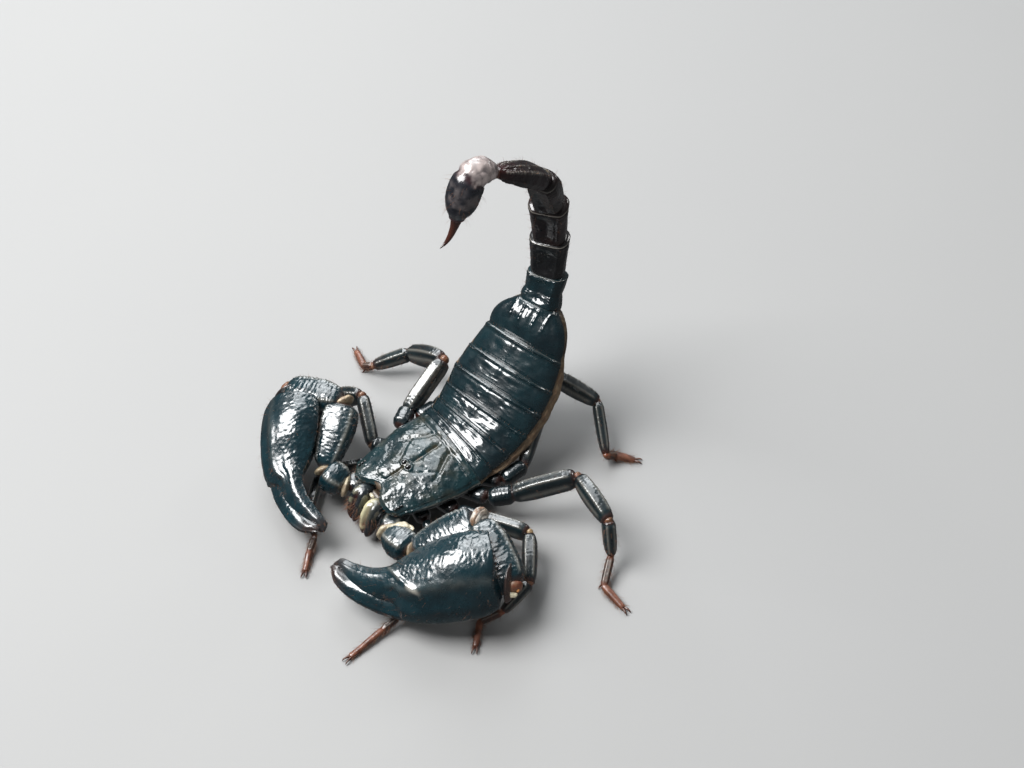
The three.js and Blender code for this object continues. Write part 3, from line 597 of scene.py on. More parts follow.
# the telson's pale colour mostly paints the glare on its neck: painted highlight
M_TELSON = cuticle("telson", (0.005, 0.007, 0.012), (0.030, 0.030, 0.038), (0.06, 0.010, 0.010), (0.50, 0.42, 0.40),
                   rough=(0.2, 0.42), coat=0.9, spec=0.6, mottle=420.0)
M_STING = cuticle("sting", (0.030, 0.009, 0.006), (0.08, 0.022, 0.013), (0.02, 0.008, 0.007), BONE,
                  rough=(0.15, 0.3), coat=0.9, spec=0.8)
M_TARSUS = cuticle("tarsus", (0.09, 0.028, 0.014), (0.24, 0.090, 0.050), (0.012, 0.013, 0.015), BONE,
                   rough=(0.3, 0.5), coat=0.5, spec=0.7, mottle=700.0)
M_SKIN = cuticle("joint_skin", (0.24, 0.17, 0.10), (0.48, 0.40, 0.26), (0.3, 0.1, 0.05), BONE,
                 rough=(0.3, 0.5), coat=0.5, spec=0.6, mottle=800.0, cell=5000.0, cell_depth=0.00001,
                 tinted=True, wrinkle=(700.0, 0.000014))
M_MOUTH = cuticle("mouthpart", (0.008, 0.013, 0.016), (0.022, 0.027, 0.031), (0.035, 0.006, 0.006), (0.78, 0.72, 0.45),
                  rough=(0.15, 0.35), **GLOSS)
M_HAIR = cuticle("bristle", (0.14, 0.05, 0.025), (0.32, 0.16, 0.09), RED, BONE,
                 rough=(0.35, 0.5), coat=0.1, mottle=500.0)
M_EYE = cuticle("eye", (0.002, 0.002, 0.003), (0.004, 0.004, 0.005), (0.002, 0.002, 0.002), BONE,
                rough=(0.03, 0.06), coat=1.0, coat_rough=0.02, cell_depth=0.0, fine_depth=0.0)
M_COMB = cuticle("comb", (0.35, 0.24, 0.13), (0.60, 0.47, 0.30), (0.3, 0.15, 0.08), BONE,
                 rough=(0.35, 0.5), coat=0.2, mottle=900.0)

# ------------------------------------------------------------------ trunk frames (as the CAD has them)
RINGS = {
    "front": ((-2.1, -11.3, 8.0), 12.8, 4.4, 5.5, 0.9, 3.0),
    "a": ((1.5, 3.5, 9.9), 14.5, 10.3, 9.2, 3.4, 4.7),
    "b": ((1.9, 5.2, 10.4), 10.0, 18.4, 8.9, 3.4, 4.9),
    "c": ((2.2, 7.6, 11.4), 4.4, 26.4, 9.2, 3.6, 6.2),
    "d": ((2.3, 10.6, 13.1), 0.2, 32.8, 9.5, 3.8, 7.4),
    "e": ((2.2, 13.7, 15.3), -2.5, 37.0, 9.7, 3.8, 7.4),
    "f": ((2.1, 17.1, 17.9), -2.7, 38.8, 9.2, 3.9, 7.2),
    "g": ((1.9, 20.9, 21.0), -4.1, 40.3, 8.0, 3.3, 6.4),
    "h": ((1.3, 25.8, 25.4), -9.5, 60.0, 3.85, 2.2, 4.7),
    "i": ((0.7, 28.6, 29.8), -18.7, 70.4, 3.4, 2.3, 4.9),
    "j": ((0.35, 29.6, 36.4), -25.4, 91.0, 3.15, 2.2, 4.7),
    "k": ((0.8, 28.8, 44.4), -28.6, 102.0, 3.0, 2.1, 4.5),
    "l": ((1.6, 25.3, 52.7), -8.5, 125.1, 2.8, 1.9, 4.2),
    "m": ((1.35, 15.75, 61.4), 8.7, 153.2, 2.3, 1.7, 3.8),
}


class Frame:
    def __init__(self, c, x, b, w, s, depth):
        self.c, self.x, self.b, self.w, self.s, self.depth = c, x, b, w, s, depth
        self.n = np.cross(x, b)


def ring_frame(c, yaw, pitch, w, s, depth):
    y, p = math.radians(yaw), math.radians(pitch)
    return Frame(
        A(*c),
        A(math.cos(y), -math.sin(y), 0),
        A(math.sin(y) * math.cos(p), math.cos(y) * math.cos(p), math.sin(p)),
        w, s, depth,
    )


R = {k: ring_frame(*v) for k, v in RINGS.items()}


def mix_frame(p, q, t):
    x = unit(p.x + (q.x - p.x) * t)
    b = p.b + (q.b - p.b) * t
    b = unit(b - x * np.dot(b, x))
    f = lambda m, n: m + (n - m) * t
    return Frame(f(p.c, q.c), x, b, f(p.w, q.w), f(p.s, q.s), f(p.depth, q.depth))


def frames_along(p, q, ts):
    fs = [mix_frame(p, q, t) for t in ts]
    g = lambda k: np.array([getattr(f, k) for f in fs])
    return g("c"), g("x"), g("b"), g("n"), g("w"), g("s"), g("depth")


# ------------------------------------------------------------------ hairs
class Hairs:
    """Stiff hairs as thin tapered tubes, each with its own small patch on the map."""

    ROWS, SIDES = 5, 4

    def __init__(self):
        self.rows = []

    def add(self, root, lie, length, radius, uv, bend):
        self.rows.append((np.asarray(root), unit(lie), length, radius, uv, np.asarray(bend)))

    def on_grid(self, P, count, length, radius, strip, lie=None, where=None, seed=0, up=0.75):
        """count hairs at random places of a grid; lie is the direction they lean in."""
        rng = np.random.RandomState(1000 + seed)
        N = grid_normals(P)
        nu, nv = P.shape[:2]
        weight = np.ones((nu, nv)) if where is None else np.broadcast_to(where, (nu, nv)).astype(float)
        area = np.linalg.norm(np.gradient(P, axis=0), axis=-1) * np.linalg.norm(
            np.roll(P, -1, 1) - P, axis=-1
        )
        p = (weight * area).ravel()
        if p.sum() <= 0:
            return
        pick = rng.choice(nu * nv, count, p=p / p.sum())
        for k in pick:
            i, j = divmod(k, nv)
            if lie is None:
                along = unit(P[min(i + 1, nu - 1), j] - P[max(i - 1, 0), j])
            else:
                along = unit(lie)
            d = unit(N[i, j] * up + along * (1.1 - up) + rng.normal(0, 0.16, 3))
            ln = rng.uniform(*length)
            u = strip[0] + (strip[2] - strip[0]) * i / nu
            v = strip[1] + (strip[3] - strip[1]) * j / nv
            self.add(P[i, j] - N[i, j] * 0.05, d, ln, radius * (0.8 + 0.4 * rng.rand()), (u, v), along * 0.25 * ln)

    def make(self, name, material, replaces=()):
        H, S = self.ROWS, self.SIDES
        root = np.array([r[0] for r in self.rows])
        d = np.array([r[1] for r in self.rows])
        ln = np.array([r[2] for r in self.rows])
        rad = np.array([r[3] for r in self.rows])
        uv = np.array([r[4] for r in self.rows])
        bend = np.array([r[5] for r in self.rows])
        helper = np.where(np.abs(d[:, 2:]) > 0.9, A(1, 0, 0), A(0, 0, 1))
        s1 = unit(np.cross(d, helper))
        s2 = np.cross(d, s1)
        s = np.linspace(0, 1, H)
        C = root[:, None] + d[:, None] * (ln[:, None] * s)[..., None] + bend[:, None] * (s**2)[None, :, None]
        rr = rad[:, None] * (1 - 0.85 * s[None, :] ** 1.3)
        ang = np.arange(S) / S * 2 * np.pi
        V = (
            C[:, :, None]
            + (rr[..., None] * np.cos(ang))[..., None] * s1[:, None, None]
            + (rr[..., None] * np.sin(ang))[..., None] * s2[:, None, None]
        )
        n = len(root)
        V = V.reshape(n, H * S, 3)
        # two end points close each hair
        V = np.concatenate([V, C[:, :1], C[:, -1:] + d[:, None] * rad[:, None, None]], axis=1)
        V[..., 2] = np.where(V[..., 2] < 0.08, 0.08 + 0.02 * (V[..., 2] - 0.08), V[..., 2])
        per = H * S + 2
        i, j = np.meshgrid(np.arange(H - 1), np.arange(S), indexing="ij")
        a, b = i * S + j, i * S + (j + 1) % S
        quads = np.stack([a, b, b + S, a + S], -1).reshape(-1, 4)
        jj = np.arange(S)
        tris = np.vstack(
            [
                np.stack([np.full(S, H * S), (jj + 1) % S, jj], -1),
                np.stack([np.full(S, H * S + 1), (H - 1) * S + jj, (H - 1) * S + (jj + 1) % S], -1),
            ]
        )
        off = (np.arange(n) * per)[:, None, None]
        out = Build()
        out.v, out.q, out.t = [V.reshape(-1, 3)], [(quads + off).reshape(-1, 4)], [(tris + off).reshape(-1, 3)]
        local = np.zeros((per, 2))
        local[: H * S, 0] = np.tile(ang / (2 * np.pi), H) * 0.0026
        local[: H * S, 1] = np.repeat(s, S) * 0.0026
        local[-1] = (0.0013, 0.003)
        uvs = (uv[:, None] + local[None]).reshape(-1, 2)
        out.a = {k: [np.zeros(len(uvs))] for k in ATTRS}
        out.a["grain"] = [np.tile(np.append(np.repeat(s, S), [0, 1]), n)]
        out.tint = [np.ones((len(uvs), 3))]
        return out.make(name, material, slot="tarsus_brown", uv=np.clip(uvs, 0, 1))


hair_body, hair_arms, hair_legs = Hairs(), Hairs(), Hairs()
skin = Build()  # every soft joint membrane and the skin of the body, as one piece; it also holds the white knuckle blobs that are painted highlights


def soft(P, tint, grain=0.3):
    """Adds folded membrane to the skin piece; tint may vary over the grid."""
    t = np.asarray(tint, float)
    if t.ndim == 1:
        t = np.broadcast_to(t, P.shape[:2] + (3,))
    cloud = 0.75 + 0.5 * fbm(P, 0.7, 5)[..., None]
    skin.tube(P, {"grain": grain}, t * cloud)


CREAM, TAN, ORANGE = A(0.55, 0.50, 0.36), A(0.36, 0.24, 0.12), A(0.50, 0.20, 0.06)
BROWN, WHITE, UMBER = A(0.085, 0.052, 0.03), A(0.72, 0.70, 0.64), A(0.035, 0.022, 0.015)

# ------------------------------------------------------------------ carapace
def carapace_frames(ts):
    C, x, b, n, w, s, depth = frames_along(R["front"], R["a"], ts)
    tt = np.clip(ts, 0, 1)
    w = 6.9 + 2.3 * np.sin(np.pi / 2 * np.minimum(1, tt * 1.12)) ** 1.4
    s = 1.7 + 1.7 * tt**0.8
    arc = np.clip(np.sin(np.pi * tt), 0, 1)
    C = C + n * (0.7 * arc**1.2)[:, None] + x * (0.35 * (1 - tt) + 0.45 * arc)[:, None]
    return C, x, b, n, w, s


def arch_grid(C, x, n, w, s, ang):
    return (
        C[:, None]
        + (w[:, None] * np.sin(ang))[..., None] * x[:, None]
        - (s[:, None] * (1 - np.cos(ang)))[..., None] * n[:, None]
    )


EYE = dict(t=0.42, x=0.62, lift=0.12, r=0.5)


def eye_centre(side, t, xx, lift):
    C, x, b, n, w, s = carapace_frames(np.array([t]))
    a = math.asin(xx / w[0])
    return C[0] + x[0] * side * xx + n[0] * (-s[0] * (1 - math.cos(a)) + lift), x[0], b[0], n[0]


def build_carapace():
    ts = np.concatenate([np.linspace(-0.065, 0.1, 40)[:-1], np.linspace(0.1, 1.0, 170)])
    ang = np.radians(np.linspace(-93, 93, 210))
    C, x, b, n, w, s = carapace_frames(ts)
    P = arch_grid(C, x, n, w, s, ang)
    T = ts[:, None] * np.ones((1, len(ang)))
    K = np.sin(ang)[None, :] * np.ones((len(ts), 1))
    X = w[:, None] * K
    # front edge: a notch in the middle, corners set back
    push = 1.75 * sstep(0, 1, np.clip(1 - np.abs(K) / 0.5, 0, 1)) + 1.3 * np.clip((np.abs(K) - 0.62) / 0.38, 0, 1) ** 2.2
    P = P + (push * (1 - sstep(-0.02, 0.2, T)))[..., None] * b[:, None]
    # the front edge rolls over
    lift = -0.55 * (1 - sstep(-0.065, -0.01, T)) ** 2
    # eye tubercle, furrows, lobes and margins
    lift = lift + 0.42 * gauss(X, 0, 1.15) * gauss(T, EYE["t"], 0.085)
    lift = lift - 0.26 * gauss(X, 0, 0.16) * (sstep(0.02, 0.1, T) * (1 - sstep(0.8, 0.9, T)))
    lift = lift - 0.24 * gauss(X, 0, 0.55) * sstep(0.46, 0.56, T) * (1 - sstep(0.86, 0.93, T))
    lift = lift + 0.30 * gauss(np.abs(X), 2.5, 1.5) * gauss(T, 0.2, 0.17)
    line = 0.62 - 0.34 * sstep(0.5, 0.93, T) + 0.0 * X
    lift = lift - 0.30 * gauss(np.abs(K), line, 0.06) * sstep(0.5, 0.62, T) * (1 - sstep(0.9, 0.95, T))
    line2 = 0.18 + 1.05 * (T - 0.36)
    lift = lift - 0.17 * gauss(np.abs(K), line2, 0.045) * sstep(0.38, 0.46, T) * (1 - sstep(0.62, 0.72, T))
    lift = lift - 0.22 * gauss(T, 0.925, 0.018) * (1 - sstep(0.9, 0.98, np.abs(K)))
    lift = lift + 0.10 * sstep(0.93, 0.965, T)
    lift = lift + 0.07 * sstep(0.965, 0.985, np.abs(K)) * (1 - sstep(0.995, 1.0, np.abs(K)))
    lift = lift - 0.07 * gauss(np.abs(K), 0.95, 0.015)
    lift = lift + 0.50 * (fbm(P, 2.6, 3, 2) - 0.5) + 0.16 * (fbm(P, 0.9, 4, 2) - 0.5)
    side = sstep(0.45, 0.85, np.abs(K)) + 0.5 * sstep(0.7, 0.9, T)
    g = granules(P, 0.42, 8, 0.55) * np.clip(side, 0, 1)
    pits = granules(P, 0.5, 21, 0.5) * (1 - np.clip(side, 0, 1))
    lift = lift + 0.055 * g - 0.05 * pits + 0.035 * (fbm(P, 0.3, 12) - 0.5) + 0.025 * granules(P, 0.3, 23, 0.5)
    N = grid_normals(P, closed=False)
    if np.sum(N * n[:, None]) < 0:
        N = -N
    P = P + N * lift[..., None]
    # the plate follows round the eyes
    for side_ in (1, -1):
        e, *_ = eye_centre(side_, EYE["t"], EYE["x"], EYE["lift"])
        away = P - e
        r = np.linalg.norm(away, axis=-1)
        P = P + N * (0.20 * gauss(r, EYE["r"] + 0.12, 0.12))[..., None]
    down = -0.75 * n[:, None] - 0.25 * np.sign(K)[..., None] * x[:, None]
    furrow = gauss(X, 0, 0.5) * sstep(0.05, 0.2, T)
    blot = sstep(0.5, 0.62, fbm(P, 1.9, 40))
    joint = 0.7 * blot * furrow + 0.3 * gauss(T, 0.93, 0.03) * sstep(0.5, 0.6, fbm(P, 1.4, 41))
    joint = joint + 0.45 * sstep(0.46, 0.66, fbm(P, 1.6, 44)) * gauss(np.abs(K), line, 0.16) * sstep(0.5, 0.75, T)
    joint = joint + 0.4 * sstep(0.5, 0.66, fbm(P, 1.3, 45)) * gauss(X, 0, 2.6) * sstep(0.15, 0.3, T) * (1 - sstep(0.6, 0.8, T))
    # a thin pale line along the lateral rim on one side only: painted highlight
    pale = 0.28 * gauss(np.abs(K), 0.992, 0.005) * (K > 0) * sstep(0.15, 0.4, T)
    Build().shell(P, 0.55, {"joint": np.clip(joint, 0, 0.85), "pale": np.clip(pale, 0, 0.5), "grain": g}, down).make(
        "carapace_plate", M_SHELL, "shell_gloss", "carapace"
    )
    lie = -b[0]
    rng = np.random.RandomState(5)
    for _ in range(34):
        j = rng.randint(8, len(ang) - 8)
        hair_body.add(P[2, j], lie + A(0, 0, 0.3) + rng.normal(0, 0.3, 3), rng.uniform(0.5, 1.1), 0.022, (0.02 + 0.9 * j / 190, 0.02), A(0, 0, -0.1))


build_carapace()

for side_name, side in (("left", 1), ("right", -1)):
    e, ex, eb, en = eye_centre(side, EYE["t"], EYE["x"], EYE["lift"])
    axis = unit(en * 0.75 + ex * side * 0.65)
    s1 = unit(np.cross(axis, eb))
    Build().tube(ellipsoid(e, (axis, s1, np.cross(axis, s1)), (0.5, 0.52, 0.56), 40, 48)).make(
        "median_eye_" + side_name, M_EYE, "eye_black", "eye_median_" + side_name
    )
    row = Build()
    for k, (ds, r) in enumerate(((-0.62, 0.27), (0.0, 0.29), (0.6, 0.25))):
        e, ex, eb, en = eye_centre(side, 0.07, 5.7, 0.04)
        c = e + eb * ds + ex * side * 0.04 * k
        row.tube(ellipsoid(c, (en, ex, eb), (r, r, r * 1.05), 26, 32))
    row.make("side_eyes_" + side_name, M_EYE, "eye_black", "eyes_lateral_" + side_name)


# ------------------------------------------------------------------ back plates
CHAIN = "abcdefgh"


def build_tergite(k):
    p, q = R[CHAIN[k]], R[CHAIN[k + 1]]
    last = k == 6
    ts = np.concatenate([np.linspace(-0.12, 0.3, 44)[:-1], np.linspace(0.3, 0.86, 34)[:-1], np.linspace(0.86, 1.03, 28)])
    ang = np.radians(np.linspace(-80, 80, 170))
    C, x, b, n, w, s, depth = frames_along(p, q, ts)
    if last:
        w = w + 1.15 * np.clip(np.sin(np.pi * np.clip(ts, 0, 1) ** 1.1), 0, 1) ** 0.9
        w = w - 0.25 * sstep(0.7, 1.0, ts)
        C = C + n * (0.55 * np.sin(np.pi * np.clip(ts, 0, 1)))[:, None]
    w = w * (0.992 + 0.012 * sstep(0.0, 0.3, ts) - 0.006 * sstep(0.8, 1.0, ts))
    P = arch_grid(C, x, n, w, s, ang)
    T = ts[:, None] * np.ones((1, len(ang)))
    K = np.sin(ang)[None, :] * np.ones((len(ts), 1))
    X = w[:, None] * K
    inner = 1 - sstep(0.84, 0.985, np.abs(K))
    wob = 0.02 * (fbm(P, 2.0, 60 + k) - 0.5)
    Tw = T + wob
    lift = -0.16 + 0.14 * sstep(0.03, 0.12, Tw)
    lift = lift + 0.20 * sstep(0.12, 0.8, Tw)
    lift = lift + (0.17, 0.20, 0.24, 0.27, 0.30, 0.30, 0.14)[k] * gauss(Tw, 0.92, 0.055) * (0.55 + 0.9 * fbm(P, 1.6, 97)) - 0.30 * sstep(0.975, 1.03, T) ** 1.5
    lift = lift - (0.06, 0.08, 0.08, 0.06, 0.05, 0.05, 0.0)[k] * gauss(Tw, 0.78, 0.06)
    lift = lift * (0.4 + 0.6 * inner)
    lift = lift - 0.10 * gauss(np.abs(K), 0.36, 0.11) * gauss(T, 0.5, 0.16)
    lift = lift - 0.08 * gauss(np.abs(K), 0.70, 0.08) * gauss(T, 0.62, 0.18)
    if k >= 1:
        lift = lift + 0.11 * gauss(X, 0, 0.4) * sstep(0.3, 0.75, T) * (1 - sstep(0.9, 0.97, T))
    if last:
        for kx, hh in ((1.35, 0.16), (3.3, 0.2)):
            bead = 0.45 + 0.55 * np.abs(np.sin(T * 26 + kx))
            lift = lift + hh * gauss(np.abs(X), kx, 0.2) * sstep(0.38, 0.5, T) * (1 - sstep(0.9, 0.96, T)) * bead
    lift = lift + (0.34, 0.34, 0.26, 0.16, 0.10, 0.08, 0.12)[k] * (fbm(P, 2.2, 70 + k, 2) - 0.5) + (0.07 if k < 3 else 0.04) * (fbm(P, 0.7, 80 + k) - 0.5)
    # fine wrinkles across the plate
    length = np.linalg.norm(q.c - p.c)
    flat = np.stack([X * 0.3, T * length + 0.25 * fbm(P, 2.0, 98), 0 * X + 3.0 * k], -1)
    ridge = 1 - np.abs(2 * fbm(flat, 0.8, 99, 2) - 1)
    lift = lift + (0.07, 0.08, 0.08, 0.06, 0.03, 0.02, 0.02)[k] * (ridge**3) * inner * sstep(0.15, 0.3, T) * (1 - sstep(0.85, 0.95, T))
    zone = np.clip(sstep(0.55, 0.85, np.abs(K)) + 0.55 * sstep(0.6, 0.85, T) + (0.4 if last else 0), 0, 1)
    zone = zone * sstep(0.22, 0.3, T)
    g = granules(P, 0.36, 30 + k, 0.5) * zone
    lift = lift + 0.045 * g
    N = grid_normals(P, closed=False)
    if np.sum(N * n[:, None]) < 0:
        N = -N
    P = P + N * lift[..., None]
    down = -0.8 * n[:, None] - 0.2 * np.sign(K)[..., None] * x[:, None]
    joint = 0.35 * (1 - sstep(0.0, 0.06, T)) + 0.35 * sstep(0.93, 1.0, np.abs(K)) * sstep(0.5, 0.65, fbm(P, 1.2, 90 + k))
    # the thin pale line along each rear rim, strongest on the hind plates, is a painted highlight
    edge = gauss(T, 0.975, 0.013) * (0.55 + 0.45 * fbm(P, 0.9, 95))
    pale = edge * (0.0, 0.0, 0.02, 0.04, 0.09, 0.14, 0.05)[k]
    Build().shell(P, 0.45, {"joint": np.clip(joint, 0, 1), "pale": pale, "grain": g}, down).make(
        "back_plate_%d" % (k + 1), M_TERGITE, "shell_gloss", "mesosoma_%d" % (k + 1)
    )
    rng = np.random.RandomState(50 + k)
    for _ in range(16):
        j = rng.randint(10, len(ang) - 10)
        i = len(ts) - rng.randint(4, 12)
        hair_body.add(P[i, j] - N[i, j] * 0.04, N[i, j] * 0.6 + b[i] + rng.normal(0, 0.2, 3), rng.uniform(0.35, 0.7), 0.018, (0.02 + 0.9 * j / 170, 0.06 + 0.08 * k), A(0, 0, 0))


for k in range(7):
    build_tergite(k)


# ------------------------------------------------------------------ skin of the body
def trunk_outline(w, s, depth, belly, top_drop, nv=132):
    side = s + (depth - s) * 0.35
    a = np.radians(np.linspace(-70, 70, 13))
    pts = [(-w * 0.972, s * 0.98)] + [(w * math.sin(t) * 0.955, s * (1 - math.cos(t)) + top_drop) for t in a]
    pts += [
        (w * 0.972, s * 0.98),
        (w * 0.965, side),
        (w * (belly + 0.08), side + (depth - side) * 0.8),
        (w * belly * 0.72, depth),
        (0, depth),
        (-w * belly * 0.72, depth),
        (-w * (belly + 0.08), side + (depth - side) * 0.8),
        (-w * 0.965, side),
    ]
    return spline_loop(pts, np.arange(nv) / nv)


def build_body_skin():
    rows, cols = [], []
    ts = np.linspace(0.04, 0.97, 26)
    C, x, b, n, w, s = carapace_frames(ts)
    for i, t in enumerate(ts):
        base = 3.0 + 1.7 * t
        grow = sstep(0.0, 0.15, t) * 0.14 + 0.8
        o = trunk_outline(w[i] * grow, s[i], base, 0.6, 0.5)
        rows.append(C[i] + o[:, :1] * x[i] - o[:, 1:] * n[i])
        cols.append(np.tile(A(0.05, 0.03, 0.02), (len(o), 1)))
    for k in range(7):
        p, q = R[CHAIN[k]], R[CHAIN[k + 1]]
        tt = np.linspace(0, 0.94 if k == 6 else 1, 15)[1 if k else 0 :]
        for t in tt:
            f = mix_frame(p, q, t)
            pinch = 0.985 + 0.015 * math.sin(math.pi * t)
            w = f.w + (1.1 * math.sin(math.pi * t**1.35) if k == 6 else 0)
            o = trunk_outline(w * pinch, f.s, f.depth - 0.1, 0.64, 0.42)
            P = f.c + o[:, :1] * f.x - o[:, 1:] * f.n
            fold = (o[:, 1] > f.s * 0.8) * sstep(0.6, 0.75, np.abs(o[:, 0]) / w)
            bulge = gauss(o[:, 1], f.s + 1.0, 1.1) * sstep(0.7, 0.9, np.abs(o[:, 0]) / w)
            bulge = bulge * 0.85 * sstep(0.3, 1.5, k + t) * (1 - sstep(5.5, 6.2, k + t))
            P = P + (np.sign(o[:, 0]) * bulge)[:, None] * f.x
            P = P + (np.sign(o[:, 0]) * fold * (0.16 * np.sin(o[:, 1] * 7 + 1.5 * math.sin(t * 6 + k)) + 0.1 * math.cos(2 * math.pi * t) - 0.05))[:, None] * f.x
            rows.append(P)
            c = np.where((fold > 0.3)[:, None], BROWN * (1.5 if k < 6 else 0.6), UMBER * 1.2)
            cols.append(c)
    P = np.array(rows)
    soft(P, np.array(cols), 0.4)


build_body_skin()


# ------------------------------------------------------------------ belly plates
def build_belly():
    plates = Build()
    for k in range(2, 7):
        p, q = R[CHAIN[k]], R[CHAIN[k + 1]]
        ts = np.linspace(-0.02, 1.05, 44)
        C, x, b, n, w, s, depth = frames_along(p, q, ts)
        side = s + (depth - s) * 0.35
        u = np.linspace(-1, 1, 90)
        U = u[None, :] * np.ones((len(ts), 1))
        T = ts[:, None] * np.ones((1, len(u)))
        low = side + (depth - side) * 0.72
        drop = depth[:, None] + 0.12 - (depth - low)[:, None] * np.abs(U) ** 2.6
        bulge = 0.16 * np.sin(np.pi * np.clip(T, 0, 1)) ** 0.6 + 0.12 * sstep(0.7, 1.0, T)
        drop = drop + bulge
        if k < 6:  # a slit on each side leads to a book lung
            slit = gauss(np.abs(U), 0.62, 0.10) * gauss(T + 0.12 * (np.abs(U) - 0.62), 0.5, 0.05)
            drop = drop - 0.25 * slit
        P = C[:, None] + (w[:, None] * 0.755 * U)[..., None] * x[:, None] - drop[..., None] * n[:, None]
        P = P - (0.03 * (fbm(P, 1.5, 7) - 0.5))[..., None] * n[:, None]
        if k == 6:
            for kx in (0.28, 0.66):
                P = P - (0.14 * gauss(np.abs(U), kx, 0.05) * sstep(0.3, 0.5, T))[..., None] * n[:, None]
        plates.shell(
            P, 0.3,
            {"joint": np.clip(sstep(0.9, 1.0, np.abs(U)) + 0.6 * sstep(0.93, 1.0, T) + 0.25, 0, 1), "grain": 0.2},
            n[:, None] * np.ones((1, len(u), 1)),
        )
    plates.make("belly_plates", M_LEG, "leg_gloss")


build_belly()


# ------------------------------------------------------------------ tail
TAIL = [
    ("h", "i", 3.35, 3.4, 2.35, 2.6),
    ("i", "j", 3.0, 3.3, 2.3, 2.55),
    ("j", "k", 2.95, 3.2, 2.25, 2.5),
    ("k", "l", 2.65, 2.85, 2.2, 2.3),
    ("l", "m", 2.45, 1.6, 2.05, 1.3),
]
TAIL_OUTLINE = [
    (0, 0.80), (0.42, 0.90), (0.75, 0.84), (0.97, 0.42), (1.0, -0.05), (0.92, -0.52), (0.62, -0.88), (0.25, -1.0),
    (-0.25, -1.0), (-0.62, -0.88), (-0.92, -0.52), (-1.0, -0.05), (-0.97, 0.42), (-0.75, 0.84), (-0.42, 0.90),
]
# keels: place on the outline (index), height
TAIL_KEELS = [(1.7, 0.15), (13.3, 0.15), (3.1, 0.09), (11.9, 0.09), (5.2, 0.10), (9.8, 0.10), (6.7, 0.09), (8.3, 0.09)]


